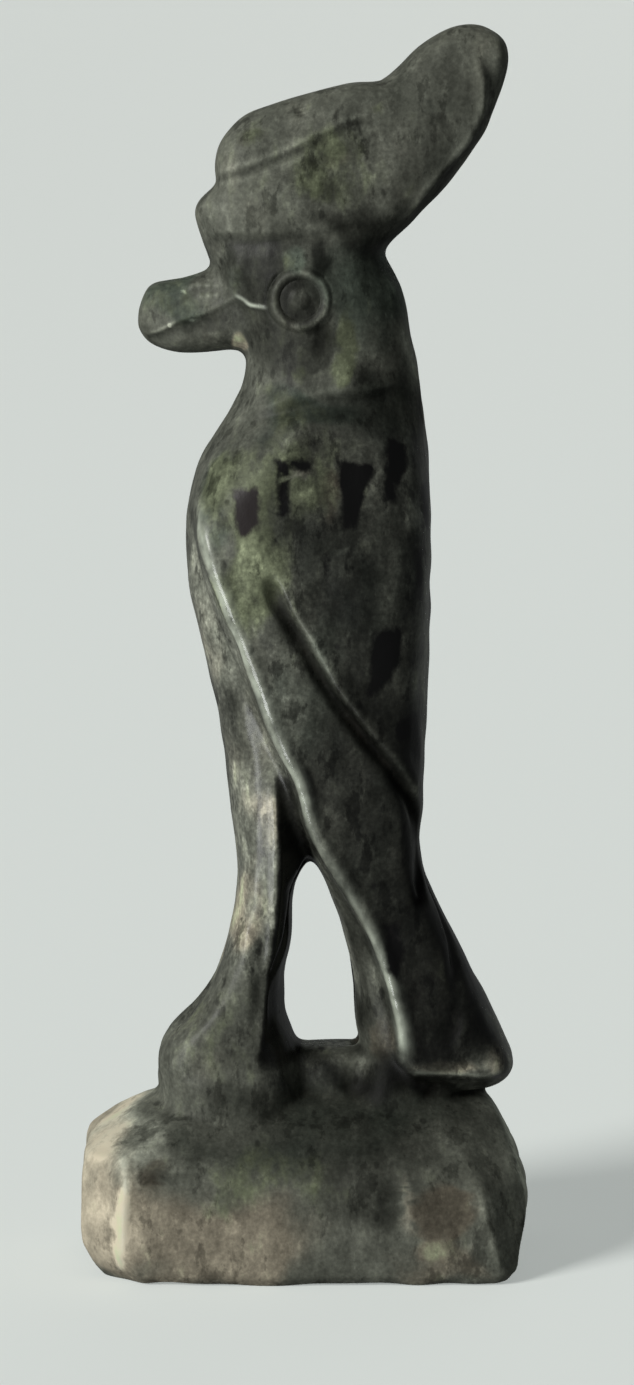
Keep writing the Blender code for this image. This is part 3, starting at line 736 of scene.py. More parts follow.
lay(PATCHES, bent_along, skin.height + bend_height, *PATCH_BORDER, 1.0)
lay(MARKS, skin.along + shift, skin.height + shift, *MARK_BORDER, skin.flank)
print("the patches' tones run from", round(tone.min(), 1), "to", round(tone.max(), 1))

# %% [markdown]
# ## Rubbed lines, painted highlights and painted shade
#
# Edges that stand proud are rubbed pale, and some grooves beside them hold dirt, but several of
# these lines are painted light and shade. The wing's front edge is the brightest line on the
# real piece, worn through at some heights and dull at others, and most of its brightness is a
# highlight. So it gets wear and a painted highlight, pale and glossy, that follow a table of
# heights and are broken up by random waves. The strip in front of it, where the bank faces the
# lamp, is painted lighter.

# %% The rubbed wing edge
# Each pair: a height, and how bright the edge's wear and painted highlight are there.
EDGE_WEAR_AND_HIGHLIGHT_RUN = (
    (4.0, 0.9), (7.0, 1.0), (9.6, 0.8), (13.5, 1.0), (17.2, 0.45), (21.0, 0.35), (25.0, 0.25),
    (27.0, 0.5), (28.8, 1.0), (32.4, 0.9), (36.0, 0.95), (43.7, 1.0), (51.0, 1.0), (54.0, 0.8),
    (57.0, 0.3),
)

patchy = soft_step(0.6 + 0.35 * waves(hundredths, 5.0, 13))
glints = soft_step(0.55 + 0.4 * waves(hundredths, 1.6, 15))
bank, bank_weight = beside(skin, WING_EDGE, 3.0)
# Painted light: the strip in front of the edge, where the bank faces the lamp, is lighter.
tone += 0.5 * bank_weight * soft_step(bank / 0.5) * soft_step(3.0 - bank)
edge_wear_and_highlight = np.interp(skin.height, *zip(*EDGE_WEAR_AND_HIGHLIGHT_RUN))
# A soft spread of the painted highlight behind the edge.
glow = 0.35 * soft_step((bank + 1.3) / 1.2) * soft_step(-bank / 0.3)
broken = 0.45 + 0.25 * patchy + 0.3 * glints
# The edge's wear and painted highlight, pale and glossy in the material.
wear_and_highlight = edge_wear_and_highlight * bank_weight * (bump(bank - 0.15, 0.6) + glow) * broken
print("points rubbed bright:", int((wear_and_highlight > 0.5).sum()))

# %% [markdown]
# The gap behind the legs is only a slot, and its walls are nearly black in the picture. A lamp
# from the front still reaches them, so the walls and the rim are darkened here by painted shade.

# %% The dark slot
SLOT_PAINTED_SHADE = 3.2
SLOT_BACK = 1.5
SLOT_HEIGHTS = (2.5, 33.0, 1.5, 2.0)

slot, slot_weight = beside(skin, LEG_EDGE, 0.8)
in_slot = soft_step((0.1 - slot) / 0.5) * soft_step((slot + 4.0) / 0.5) * soft_step(bank / 0.6)
wall = soft_step((skin.normals[:, 1] - 0.15) / 0.3) * skin.between(*SLOT_HEIGHTS)
leg_back = np.interp(skin.height, [h for _, h in LEG_EDGE[::-1]], [a for a, _ in LEG_EDGE[::-1]])
wall *= soft_step(SLOT_BACK - skin.along) * soft_step((skin.along - leg_back + 0.3) / 0.5)
# Painted shade on the slot's walls and rim.
tone -= SLOT_PAINTED_SHADE * np.maximum(slot_weight * in_slot, wall)
print("points on the slot's walls:", int((wall > 0.5).sum()))

# %% [markdown]
# The carved courses are painted too, pale on the ridges and dark in the grooves, and a few
# faint lines have a tone and no relief. Several are painted light and shade: highlights on the
# covert bank, the mouth, the crown's front corner and the plinth's edge, light along the back
# edges of the crown and the nape, and shade in the covert groove, below the mouth and in the
# fold at the crown's foot.

# %% Courses of painted lines
CROWN_DASH = ((-7.7, 83.6), (-7.1, 82.0), (-6.6, 80.4))
LONG_LINE = ((-13.4, 73.4), (-11.9, 74.2), (-10.4, 75.0), (-9.7, 75.4))
TAIL_BACK = ((17.0, 10.5), (18.2, 7.5), (19.0, 4.5))
LOWER_BAND = ((-10.8, 71.9), (-9.1, 71.5), (-7.3, 71.3))
CROWN_RIM = (
    (17.4, 98.0), (17.5, 95.5), (17.0, 92.5), (15.2, 89.5), (13.0, 86.5), (10.4, 83.6),
    (7.6, 80.8),
)
NAPE_EDGE = ((7.8, 77.5), (8.6, 74.0), (9.3, 69.5), (9.6, 65.0), (9.9, 60.0), (10.1, 53.0))
TAIL_FRONT = ((2.4, 20.6), (3.6, 16.6), (4.4, 13.0), (5.1, 9.0), (5.6, 5.0), (5.8, 3.0))
# Each light or dark line: its course, doublings, how far to its side, how wide.
LINES = (
    # Painted highlight on the covert line's bank, which faces the lamp, and painted shade in its
    # groove.
    (COVERT_EDGE, 1.6, -1.05, 0.7),
    (COVERT_EDGE, -2.4, 0.0, 1.2),
    (RIM, 0.6, 0.0, 0.6),
    (RIM, 0.6, -1.3, 0.6),
    (RIM, -0.5, -0.65, 0.7),
    (CROWN_BAND, 0.6, 0.1, 0.8),
    # Painted light along the back edges of the crown and the nape, which turn away from the lamp.
    (CROWN_RIM, 1.2, 0.0, 2.6),
    (NAPE_EDGE, 1.7, 0.0, 1.8),
    (COLLAR, 0.5, -0.4, 0.7),
    # The plinth's upright edge: lighter by wear and by a painted highlight.
    (PLINTH_EDGE, 0.6, 0.0, 0.9),
    # Painted highlights along the mouth line, and painted shade below it.
    (MOUTH[:4], 1.3, 0.0, 0.35),
    (MOUTH, 0.5, 0.0, 0.35),
    (MOUTH, -0.8, 0.7, 0.8),
    (LONG_LINE, -0.7, 0.0, 0.5),
    (LOWER_BAND, 0.6, 0.0, 0.6),
    (BEAD_LINE, 1.5, 0.0, 0.35),
    (LOWER_BEADS, 1.3, 0.0, 0.35),
    (BEAD_LINE, -0.8, 0.5, 0.6),
    # Painted shade in the fold where the crown meets the head.
    (CROWN_BASE, -0.9, 0.2, 1.0),
    (CROWN_BASE, 0.3, -0.7, 0.6),
    # Painted highlight on the crown's front corner.
    (CROWN_DASH, 1.0, 0.0, 0.4),
    (TAIL_LEDGE, 1.4, 0.0, 0.45),
    (TAIL_LINE, 1.0, 0.0, 0.5),
    (TAIL_BAND, 0.6, -0.5, 0.5),
    (TAIL_BACK, 1.4, 0.0, 0.5),
    (TAIL_FRONT, -2.2, -0.7, 2.2),
    (TAIL_FRONT, -1.2, 0.4, 1.6),
)
# Each rubbed line, wear with a painted highlight: its course, how strongly, how wide.
RUBBED_AND_HIGHLIGHT_LINES = ((LORE, 1.0, 0.28), (TAIL_LEDGE, 0.25, 0.35), (PLINTH_EDGE, 0.3, 0.6))

for line, doublings, offset, width in LINES:
    distance, weight = beside(skin, line, 1.0)
    tone += doublings * weight * bump(distance - offset, width) * (0.4 + 0.6 * patchy)
for line, strength, width in RUBBED_AND_HIGHLIGHT_LINES:
    distance, weight = beside(skin, line, 0.6)
    wear_and_highlight = np.maximum(wear_and_highlight, strength * weight * bump(distance, width) * (0.5 + 0.5 * glints))
print("lines laid, tones from", round(tone.min(), 1), "to", round(tone.max(), 1))

# %% [markdown]
# The eye has a rubbed ring, a dark disc inside it and a painted highlight on the boss, where
# the polish catches the window.

# %% Tones round the eye
DISC = 1.55
GLINT = (0.3, 0.5)

ring = np.hypot(skin.along - EYE[0], skin.height - EYE[1])
tone += skin.flank * (1.2 * bump(ring - EYE_RING, 0.5) - 1.2 * bump(ring - DISC, 1.1))
# A painted highlight on the boss.
glint = np.hypot(skin.along - EYE[0] - GLINT[0], skin.height - EYE[1] - GLINT[1])
tone += 1.2 * skin.flank * bump(glint, 0.9)
print("points darker than a quarter of the middle tone:", int((tone < -2.0).sum()))

# %% [markdown]
# ## Where the polish is gone
#
# Hands have polished the wings and the back. The crown, the head, the breast, the feet, the
# plinth and the grooves are duller, so each place adds to one number, matte, that the
# material turns into roughness. A second number, quiet, calms the stone's mottling where the
# real stone is even, and wakes it up a little on the crown.

# %% Where the polish is gone
CROWN_FOOT = 78.5
PLINTH_RIM = 2.0
FEET_BACK = -3.5
FEET_TOP = 14.0
DULL_HEAD = (61.0, 80.0, 3.0, 2.0)
DULL_BREAST = (-6.0, 57.0, 5.0, 6.0)
DULL_CORNER = (6.4, 1.5, 3.0, 3.0)
LIVELY_CROWN = (2.5, 86.5, 6.5, 5.0)
EVEN_FRONT = -17.2

matte = soft_step((skin.height - CROWN_FOOT) / 2.0) + soft_step((PLINTH_RIM - skin.height) / 2.0)
matte += 0.7 * soft_step(FEET_BACK - skin.along) * soft_step((FEET_TOP - skin.height) / 3.0)
matte += 0.9 * skin.between(*DULL_HEAD)
matte += 0.8 * skin.about(*DULL_BREAST) + skin.about(*DULL_CORNER)
for line, width in ((COVERT_EDGE, 2.0), (TAIL_FRONT, 4.0)):
    distance, weight = beside(skin, line, 1.0)
    matte += weight * bump(distance, width)
matte = np.clip(matte, 0.0, 1.0)
quiet = 0.4 * matte + 0.2 * soft_step((EVEN_FRONT - skin.along) / 1.5)
quiet -= 0.22 * skin.about(*LIVELY_CROWN)
print("matte share", round(float(matte.mean()), 2))

# %% [markdown]
# ## Dark mineral grains
#
# Black crystals with straight sides lie in the shoulder and along the back. Each is a convex
# outline on the flank. The distance from it is stored on the mesh and not a yes or no,
# because a distance can be cut sharply by the material at any value, and roughened first.

# %% Grain outlines
# Each grain: how grey it is, then its corners, clockwise as seen from its own side.
NEAR_GRAINS = (
    (1.0, (-6.6, 57.3), (-4.1, 57.7), (-4.2, 54.1), (-5.5, 53.0), (-6.1, 53.4)),
    (0.0, (-2.7, 60.3), (-1.2, 60.2), (-1.4, 55.4), (-2.2, 54.9)),
    (0.0, (-1.8, 60.3), (0.7, 60.0), (0.6, 59.1), (-1.4, 59.2)),
    (0.0, (3.1, 60.0), (6.4, 59.6), (5.6, 56.6), (4.6, 53.9), (3.5, 54.0)),
    (0.0, (7.6, 62.0), (9.2, 61.6), (9.6, 59.3), (8.3, 57.3), (7.4, 58.2)),
    (0.0, (7.4, 59.5), (8.5, 59.2), (8.2, 56.4), (7.2, 56.2)),
    (0.0, (10.6, 57.9), (11.6, 57.9), (11.5, 53.7), (10.9, 53.7)),
    (0.0, (10.1, 52.0), (10.9, 52.0), (10.8, 46.9), (10.2, 47.3)),
    (0.0, (6.1, 44.4), (8.9, 44.8), (8.8, 41.6), (7.7, 39.9), (6.4, 38.4), (5.9, 38.6)),
    (0.0, (9.8, 36.7), (10.7, 36.9), (10.7, 32.4), (9.9, 32.8)),
    (0.0, (8.2, 35.8), (9.2, 36.4), (9.9, 36.1), (9.8, 34.4), (8.6, 34.2)),
    (0.0, (1.7, 51.6), (2.4, 51.4), (2.3, 49.1), (1.9, 49.2)),
    (0.0, (-2.9, 52.9), (-2.5, 52.9), (-2.5, 52.0), (-2.8, 52.0)),
    (0.0, (-4.4, 50.0), (-4.0, 50.0), (-4.0, 49.4), (-4.3, 49.4)),
    (0.1, (7.4, 16.8), (8.8, 17.2), (9.3, 14.0), (8.6, 11.6), (7.7, 12.6)),
)
FAR_GRAINS = (
    (1.0, (-2.0, 58.2), (0.4, 58.0), (0.0, 54.1), (-1.3, 53.6)),
    (0.0, (-5.2, 61.0), (-4.1, 60.8), (-4.3, 56.0), (-5.0, 56.2)),
    (0.0, (3.8, 61.4), (5.6, 61.0), (5.0, 56.0), (4.2, 56.6)),
    (0.0, (7.9, 52.6), (9.4, 52.2), (9.0, 46.8), (8.2, 47.6)),
    (0.0, (4.4, 41.0), (6.4, 41.6), (6.0, 37.2), (4.9, 36.4)),
    (0.1, (9.4, 14.8), (10.9, 15.4), (11.0, 11.2), (9.9, 10.6)),
    (0.0, (-1.4, 70.6), (0.2, 70.8), (-0.1, 67.9), (-1.0, 67.6)),
    (0.6, (-8.0, -6.0), (-5.6, -5.8), (-5.9, -8.9), (-7.4, -9.3)),
)
BACK_GRAINS = (
    (0.0, (-4.6, 60.2), (-3.0, 60.0), (-3.3, 54.4), (-4.2, 54.9)),
    (0.0, (2.0, 50.4), (3.8, 50.0), (3.3, 44.1), (2.5, 44.9)),
    (0.8, (-2.2, 38.6), (-0.4, 38.2), (-0.8, 34.0), (-1.9, 34.4)),
    (0.0, (3.4, 22.8), (4.7, 22.9), (4.5, 18.2), (3.7, 18.0)),
    (0.0, (-1.6, 73.0), (0.3, 73.2), (0.1, 69.0), (-1.2, 69.2)),
)

print("outlined", len(NEAR_GRAINS) + len(FAR_GRAINS) + len(BACK_GRAINS), "grains")

# %% [markdown]
# A point is outside a convex outline if it lies outside any of its edges, so the largest of
# the distances from the edges is the distance from the grain. Each side of the bird has its
# own list, and the back has one that is read across instead of along.

# %% Grains on the mesh
NO_GRAIN = 3.0
BACK_FACING = 0.55
BACK_HALF_WIDTH = 6.0


def outline_distance(sideways, upright, corners):
    """The distance outside a convex outline, negative inside."""
    distance = np.full(len(sideways), -np.inf)
    for (ax, ay), (bx, by) in zip(corners, corners[1:] + corners[:1]):
        length = math.hypot(bx - ax, by - ay)
        across_edge = (sideways - ax) * (by - ay) - (upright - ay) * (bx - ax)
        distance = np.maximum(distance, -across_edge / length)
    return distance


grain = np.full(len(skin.spots), NO_GRAIN)
grain_grey = np.zeros(len(skin.spots))
sideways_facing = np.abs(skin.normals[:, 0]) > FLANK_FROM
on_back = (skin.normals[:, 1] > BACK_FACING) & (np.abs(skin.across) < BACK_HALF_WIDTH)
sides = (
    (NEAR_GRAINS, sideways_facing & (skin.across > 0.0), skin.along),
    (FAR_GRAINS, sideways_facing & (skin.across < 0.0), skin.along),
    (BACK_GRAINS, on_back, skin.across),
)
for grains, where, sideways in sides:
    for grey, *corners in grains:
        distance = outline_distance(sideways, skin.height, corners)
        distance = np.where(where, distance, NO_GRAIN)
        grain_grey = np.where(distance < grain, grey, grain_grey)
        grain = np.minimum(grain, distance)
print("points inside a grain:", int((grain < 0.0).sum()))

# %% [markdown]
# ## Storing it all on the mesh
#
# Polish and dirt follow the relief: ridges are rubbed bright, hollows keep a dark film. The
# distance that a point stands out of its surroundings, found at two scales, gives both.
# Cycles has a value called Pointiness for this, but that has one scale only, set by how fine
# the mesh happens to be.

# %% Attributes
FINE_ROUNDS = 5
BROAD_ROUNDS = 30
FINE_RELIEF = 0.10
BROAD_RELIEF = 0.5


def stand_out(mesh, normals, rounds):
    """How far each point stands out of its surroundings, in hundredths."""
    spots = np.empty(len(mesh.vertices) * 3)
    mesh.vertices.foreach_get("co", spots)
    spots = spots.reshape(-1, 3) / UNIT
    calm = drawn_in(mesh, spots, np.full(len(spots), 0.5), rounds)
    return ((spots - calm) * normals).sum(1)


fine_relief = stand_out(stone_mesh, skin.normals, FINE_ROUNDS) / FINE_RELIEF
broad_relief = stand_out(stone_mesh, skin.normals, BROAD_ROUNDS) / BROAD_RELIEF
STORED = {
    "tone": tone,
    "warmth": np.clip(warmth, -1.0, 1.0),
    "yellow": np.clip(yellow, 0.0, 1.0),
    "grain": np.clip(grain, -NO_GRAIN, NO_GRAIN),
    "grain_grey": grain_grey,
    "matte": matte,
    "quiet": quiet,
    "wear_and_highlight": wear_and_highlight,
    "rubbed": soft_step(fine_relief) * 0.6 + soft_step(broad_relief) * 0.4,
    "hollow": soft_step(-fine_relief) * 0.6 + soft_step(-broad_relief) * 0.4,
}
for name, values in STORED.items():
    layer = stone_mesh.attributes.new(name, "FLOAT", "POINT")
    layer.data.foreach_set("value", np.asarray(values, dtype=np.float32))
print("stored", ", ".join(STORED))

# %% [markdown]
# ## The stone
#
# One material layers everything: a middle tone, doubled up or down by the patch and by noise
# of three sizes, tinted warm, cool or yellow, with black grains cut by their distance, worn
# ridges and dark hollows. Its nodes are many but of few kinds, so short functions add them.


# %% Node helpers
def add(tree, kind, settings=None, values=None, links=None):
    """A node with its settings, its plain input values and the sockets that feed it."""
    node = tree.nodes.new(kind)
    for name, value in (settings or {}).items():
        setattr(node, name, value)
    for name, value in (values or {}).items():
        node.inputs[name].default_value = value
    for name, socket in (links or {}).items():
        tree.links.new(socket, node.inputs[name])
    return node


def sums(tree, *sockets):
    """The sum of several values."""
    total = sockets[0]
    for socket in sockets[1:]:
        links = {0: total, 1: socket}
        total = add(tree, "ShaderNodeMath", {"operation": "ADD"}, links=links).outputs[0]
    return total


def scaled(tree, socket, factor, offset=0.0):
    """A value times a factor plus an offset."""
    settings = {"operation": "MULTIPLY_ADD"}
    return add(tree, "ShaderNodeMath", settings, {1: factor, 2: offset}, {0: socket}).outputs[0]


def mixed(tree, parts, shares):
    """The sum of several parts, each times its share and moved by its offset, if it has one."""
    return sums(tree, *(scaled(tree, parts[name], *share) for name, *share in shares))


def product(tree, a, b):
    """One value times another."""
    return add(tree, "ShaderNodeMath", {"operation": "MULTIPLY"}, links={0: a, 1: b}).outputs[0]


def ranged(tree, socket, start, end, low_out=0.0, high_out=1.0):
    """A smooth change from one value to another while a socket goes from start to end."""
    values = {1: start, 2: end, 3: low_out, 4: high_out}
    settings = {"interpolation_type": "SMOOTHSTEP"}
    return add(tree, "ShaderNodeMapRange", settings, values, {0: socket}).outputs[0]


def noise(tree, coords, scale, detail=3.0, roughness=0.6):
    """Noise about 0, from about -0.5 to 0.5."""
    values = {"Scale": scale, "Detail": detail, "Roughness": roughness}
    made = add(tree, "ShaderNodeTexNoise", None, values, {"Vector": coords})
    return scaled(tree, made.outputs["Fac"], 1.0, -0.5)


def blend(tree, factor, a, b):
    """Colour a, turning into colour b with the factor. A colour is a socket or three numbers."""
    node = add(tree, "ShaderNodeMix", {"data_type": "RGBA"}, links={0: factor})
    for name, colour in ((6, a), (7, b)):
        if isinstance(colour, tuple):
            node.inputs[name].default_value = (*colour, 1.0)
        else:
            tree.links.new(colour, node.inputs[name])
    return node.outputs[2]


# %% [markdown]
# Noise of three sizes gives clouds, mottling and speckles, stretched a little upright like the
# grain of the rock. Pits are the small round middles of Voronoi cells, kept only where another
# noise is high, because a whole field of them would look like leather. Blotches and flecks
# are noise cut off sharply. The numbers stored on the mesh join them as parts of one list.

# %% Patterns of the stone
STRETCH = (1.0, 1.0, 0.55)
CLOUD_SCALE = 480.0
PIT_GROUP_SCALE = 900.0
BLOTCH_SCALE = 1050.0
PIT_SCALE = 1500.0
MOTTLE_SCALE = 1500.0
FLECK_SCALE = 1900.0
SPECKLE_SCALE = 5200.0


def stone_parts(tree):
    """The patterns of the rock and the numbers stored on the mesh, by name."""
    place = add(tree, "ShaderNodeTexCoord").outputs["Object"]
    point = {"vector_type": "POINT"}
    stretched = add(tree, "ShaderNodeMapping", point, {"Scale": STRETCH}, {"Vector": place})
    upright = stretched.outputs["Vector"]
    nearest = {"feature": "F1"}
    cells = add(tree, "ShaderNodeTexVoronoi", nearest, {"Scale": PIT_SCALE}, {"Vector": upright})
    pit = ranged(tree, cells.outputs["Distance"], 0.26, 0.12)
    pit_group = ranged(tree, noise(tree, place, PIT_GROUP_SCALE, 2.0), 0.04, 0.14)
    parts = {}
    for name in STORED:
        parts[name] = add(tree, "ShaderNodeAttribute", {"attribute_name": name}).outputs["Fac"]
    parts["clouds"] = noise(tree, upright, CLOUD_SCALE, 4.0)
    parts["mottle"] = noise(tree, upright, MOTTLE_SCALE, 4.0)
    parts["speckle"] = noise(tree, place, SPECKLE_SCALE, 3.0)
    parts["pit"] = product(tree, pit, pit_group)
    parts["blotch"] = ranged(tree, noise(tree, upright, BLOTCH_SCALE, 5.0, 0.65), 0.05, 0.13)
    parts["fleck"] = ranged(tree, noise(tree, upright, FLECK_SCALE, 4.0, 0.65), 0.07, 0.16)
    return parts


# %% [markdown]
# Adding doublings before one power of two keeps dark and light patches equally lively, where
# adding noise to the colour itself would leave the dark ones flat. A tint multiplies the
# result, cool or warm by one number and yellow by another.

# %% Tone and tint
MIDDLE_TONE = (0.076, 0.080, 0.065)
PLAIN = (1.0, 1.0, 1.0)
WARM_TINT = (1.16, 0.99, 0.92)
COOL_TINT = (0.87, 1.01, 0.98)
YELLOW_TINT = (0.97, 1.04, 0.80)
BRIGHTEST = 6.0
# Each share: a part, how much of it, and an offset where it needs one.
LIVELY = (
    ("clouds", 3.2), ("mottle", 3.6), ("speckle", 3.0), ("blotch", -1.3, 0.14), ("fleck", 0.6),
    ("pit", -1.3),
)
WARMTH = (("warmth", 1.0), ("clouds", 1.2))
GOLD = (("yellow", 1.0), ("mottle", 1.6), ("clouds", 0.8))


def stone_tone(tree, parts):
    """The stone's colour by patch, mottling and tint, before grains, dirt and wear."""
    doublings = sums(
        tree,
        parts["tone"],
        product(tree, mixed(tree, parts, LIVELY), scaled(tree, parts["quiet"], -1.0, 1.0)),
        scaled(tree, parts["rubbed"], 0.7),
        scaled(tree, parts["hollow"], -0.5),
    )
    power = add(tree, "ShaderNodeMath", {"operation": "POWER"}, {0: 2.0}, {1: doublings})
    links = {0: power.outputs[0]}
    capped = add(tree, "ShaderNodeMath", {"operation": "MINIMUM"}, {1: BRIGHTEST}, links)
    warmth = mixed(tree, parts, WARMTH)
    tint = blend(tree, ranged(tree, warmth, 0.0, -1.0), PLAIN, COOL_TINT)
    tint = blend(tree, ranged(tree, warmth, 0.0, 1.0), tint, WARM_TINT)
    tint = blend(tree, ranged(tree, mixed(tree, parts, GOLD), 0.15, 0.9), tint, YELLOW_TINT)
    times = {"operation": "MULTIPLY"}
    middle = add(tree, "ShaderNodeVectorMath", times, {1: MIDDLE_TONE}, {0: tint})
    links = {0: middle.outputs[0], "Scale": capped.outputs[0]}
    return add(tree, "ShaderNodeVectorMath", {"operation": "SCALE"}, links=links).outputs[0]


# %% [markdown]
# Dirt goes over the tone, rubbed edges with their painted highlights over the dirt, and the
# grains over all, since a black crystal stays black where it is rubbed. Mottling breaks up each
# of them, or they would look painted on.

# %% Grains, dirt, wear and painted highlights
# Rubbed edges' pale colour, also a painted highlight on the wing edge, lore, ledge and plinth edge.
WORN_EDGE_AND_HIGHLIGHT = (0.42, 0.46, 0.38)
BLACK_GRAIN = (0.003, 0.003, 0.003)
GREY_GRAIN = (0.022, 0.019, 0.019)
DIRT = (0.020, 0.018, 0.014)
GREYNESS = (("grain_grey", 1.0), ("mottle", 1.5))


def stone_colour(tree, parts):
    """The stone's colour with dirt in its hollows, rubbed edges with painted highlights, and
    grains.
    """
    mottle = parts["mottle"]
    dirty = product(tree, parts["hollow"], ranged(tree, mottle, -0.1, 0.1, 0.1, 0.5))
    pale_wear_and_highlight = product(tree, parts["wear_and_highlight"], ranged(tree, mottle, -0.25, 0.1, 0.45, 1.0))
    grey = ranged(tree, mixed(tree, parts, GREYNESS), 0.2, 0.8)
    colour = blend(tree, dirty, stone_tone(tree, parts), DIRT)
    colour = blend(tree, pale_wear_and_highlight, colour, WORN_EDGE_AND_HIGHLIGHT)
    return blend(tree, parts["inside"], colour, blend(tree, grey, BLACK_GRAIN, GREY_GRAIN))


# %% [markdown]
# Gloss varies with the same parts: duller where the polish is gone and in the hollows,
# brighter on rubbed edges and grains. A very low bump, three hundredths of a millimetre, breaks
# the polish. The four results then feed the shader, and the carved stone takes the solid's
# place in the frame.

# %% The stone material
RAGGED = (("grain", 1.0), ("mottle", 1.0), ("speckle", 0.3))
RAGGED_EDGE = 0.32
ROUGHNESS = (
    ("mottle", 0.25, 0.29), ("matte", 0.20), ("hollow", 0.18), ("rubbed", -0.10),
    ("wear_and_highlight", -0.16), ("inside", -0.04), ("pit", 0.15),
)
GLOSS = (("matte", -0.30, 0.34), ("wear_and_highlight", 0.5))
DENTS = (("mottle", 0.5), ("speckle", 0.25), ("inside", -0.15))
DENT_DEPTH = 0.000028
STONE_IOR = 1.5


def stone_material():
    """The material from its parts to the shader."""
    material = bpy.data.materials.new("mottled green stone")
    material.use_nodes = True
    tree = material.node_tree
    shader = tree.nodes["Principled BSDF"]
    parts = stone_parts(tree)
    parts["inside"] = ranged(tree, mixed(tree, parts, RAGGED), RAGGED_EDGE, -RAGGED_EDGE)
    strength = {"Strength": 1.0, "Distance": DENT_DEPTH}
    dents = add(tree, "ShaderNodeBump", None, strength, {"Height": mixed(tree, parts, DENTS)})
    results = {
        "Base Color": stone_colour(tree, parts),
        "Roughness": mixed(tree, parts, ROUGHNESS),
        "Normal": dents.outputs["Normal"],
        "Specular IOR Level": mixed(tree, parts, GLOSS),
    }
    for name, socket in results.items():
        tree.links.new(socket, shader.inputs[name])
    shader.inputs["IOR"].default_value = STONE_IOR
    return material


stone.data.materials.append(stone_material())
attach(stone, "root")
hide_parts("falcon_statuette")
print("the stone has", len(stone.data.materials[0].node_tree.nodes), "shader nodes")

# %% [markdown]
# ## The floor
#
# The statuette stands on a wide pale floor that rises into a wall far away on all sides, like
# the sweep of paper in a photographer's studio, so no horizon shows. A short profile is spun
# round the upright axis to make it. Dark polished stone would mirror so much pale paper and
# lose its depth, so the floor is left out of its reflections and of its bounced light, and a
# little glow of its own keeps the paper pale.

# %% The floor
FLAT_RADIUS = 0.5
RIM_RADIUS = 3.0
RIM_HEIGHT = 0.6
RISE_STEPS = 14
TURN_STEPS = 72


def sweep_mesh():
    """A flat disc that rises in a smooth curve to its rim."""
    sweep = bmesh.new()
    profile = [(0.0, 0.0)]
    for step in range(RISE_STEPS + 1):
        share = step / RISE_STEPS
        profile.append((FLAT_RADIUS + (RIM_RADIUS - FLAT_RADIUS) * share, RIM_HEIGHT * share**2))
    verts = [sweep.verts.new((out, 0.0, up)) for out, up in profile]
    edges = [sweep.edges.new(pair) for pair in zip(verts, verts[1:])]
    bmesh.ops.spin(
        sweep, geom=verts + edges, cent=(0, 0, 0), axis=(0, 0, 1), angle=math.tau,
        steps=TURN_STEPS, use_merge=True,
    )
    bmesh.ops.remove_doubles(sweep, verts=sweep.verts, dist=0.0001)
    bmesh.ops.recalc_face_normals(sweep, faces=sweep.faces)
    mesh = bpy.data.meshes.new("pale_floor")
    sweep.to_mesh(mesh)
    sweep.free()
    mesh.shade_smooth()
    return mesh


floor = bpy.data.objects.new("pale_floor", sweep_mesh())
bpy.context.scene.collection.objects.link(floor)
floor.visible_diffuse = False
floor.visible_glossy = False
floor.visible_shadow = False
print("the floor has", len(floor.data.polygons), "faces")

# %% [markdown]
# The paper is rough and faintly green, and glows a little, so that it is evenly pale all round
# the bird, as a lit backdrop is.

# %% The paper
PAPER = {
    "Base Color": (0.59, 0.62, 0.60, 1.0),
    "Roughness": 0.9,
    "Specular IOR Level": 0.2,
    "Emission Color": (0.95, 1.0, 0.97, 1.0),
    "Emission Strength": 0.18,
}

paper = bpy.data.materials.new("pale paper")
paper.use_nodes = True
for name, value in PAPER.items():
    paper.node_tree.nodes["Principled BSDF"].inputs[name].default_value = value
floor.data.materials.append(paper)
print("the paper glows by", PAPER["Emission Strength"])

# %% [markdown]
# ## Camera
#
# The photograph was taken from the bird's left side, square on and slightly from above, with
# a fairly long lens. Its tilt was found from how much of the plinth's far top edge shows, and
# its distance from how much larger the near edge of the plinth looks than the bird above it.

# %% The camera
CAMERA_AZIMUTH = math.radians(90.0)
CAMERA_ELEVATION = math.radians(6.0)
CAMERA_DISTANCE = 0.150
CAMERA_TARGET = Vector((0.0, 0.000488, 0.02327))
SENSOR = 36.0
PICTURE_HEIGHT = 1385.0
FOCAL_PIXELS = 3702.0
NEAREST_SEEN = 0.005


def toward(azimuth, elevation):
    """A direction out from the statuette. Azimuth 0 is in front of the bird, 90 on its left."""
    level = math.cos(elevation)
    return Vector((math.sin(azimuth) * level, -math.cos(azimuth) * level, math.sin(elevation)))


def facing(direction):
    """The turn that points a lamp's or camera's -Z against a direction."""
    return (-direction).to_track_quat("-Z", "Y").to_euler()


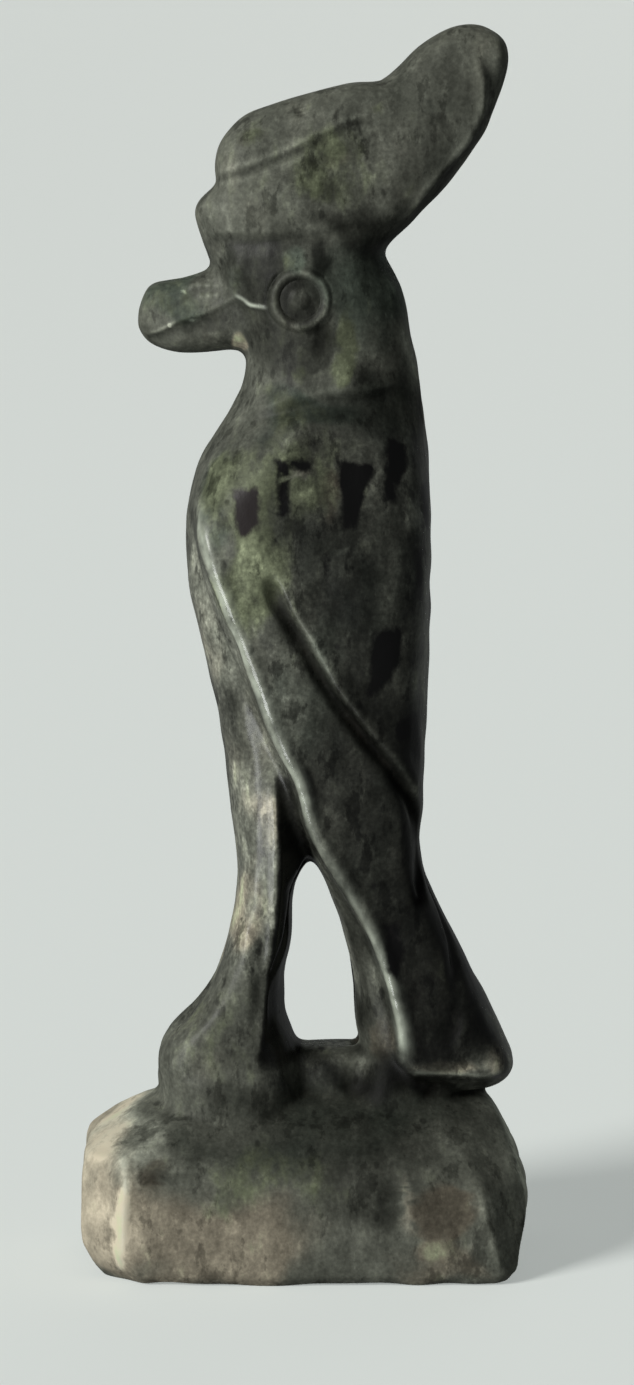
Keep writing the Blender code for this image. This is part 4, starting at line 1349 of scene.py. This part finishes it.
lens = bpy.data.cameras.new("camera")
lens.sensor_fit = "VERTICAL"
lens.sensor_height = SENSOR
lens.lens = FOCAL_PIXELS / PICTURE_HEIGHT * SENSOR
lens.clip_start = NEAREST_SEEN
camera = bpy.data.objects.new("camera", lens)
out = toward(CAMERA_AZIMUTH, CAMERA_ELEVATION)
camera.location = CAMERA_TARGET + out * CAMERA_DISTANCE
camera.rotation_euler = facing(out)
bpy.context.scene.collection.objects.link(camera)
bpy.context.scene.camera = camera
print("the lens is", round(lens.lens, 1), "mm")

# %% [markdown]
# ## Light
#
# The light in the photograph comes from in front of the bird and towards the camera, soft
# enough that highlights are bands and not points. A sun lamp with a wide disc does that, and
# it is as strong at the plinth as at the crown, which a near lamp isn't. A weaker one from
# below the front stands for the light that pale paper throws back. The far side would be
# nearly black, so a third lamp lights it from behind. It casts no shadow and makes no
# highlight, as the even light of a room would.

# %% The lamps
# Each lamp: azimuth, elevation and apparent width in degrees, strength, colour, and whether it
# casts shadows and shows in highlights.
LAMPS = {
    "window": (42.0, 24.0, 20.0, 3.3, (1.0, 0.99, 0.97), True),
    "reflector": (44.0, -16.0, 26.0, 1.1, (0.98, 1.0, 1.0), True),
    "far fill": (252.0, 18.0, 50.0, 3.0, (0.97, 1.0, 0.99), False),
}

for name, (azimuth, elevation, width, strength, colour, full) in LAMPS.items():
    lamp = bpy.data.lights.new(name, "SUN")
    lamp.energy = strength
    lamp.angle = math.radians(width)
    lamp.color = colour
    lamp.use_shadow = full
    holder = bpy.data.objects.new(name, lamp)
    holder.visible_glossy = full
    holder.rotation_euler = facing(toward(math.radians(azimuth), math.radians(elevation)))
    bpy.context.scene.collection.objects.link(holder)

# %% [markdown]
# A weak world fills what the lamps leave. The Standard view keeps the paper's tone as it is set,
# where a filmic one would grey it.

# %% The world
WORLD_COLOUR = (0.92, 0.96, 0.95, 1.0)
WORLD_STRENGTH = 0.10

world = bpy.data.worlds.new("studio")
world.use_nodes = True
background = world.node_tree.nodes["Background"]
background.inputs["Color"].default_value = WORLD_COLOUR
background.inputs["Strength"].default_value = WORLD_STRENGTH
bpy.context.scene.world = world
bpy.context.scene.view_settings.view_transform = "Standard"
print("lit by", ", ".join(LAMPS), "and a world of strength", WORLD_STRENGTH)
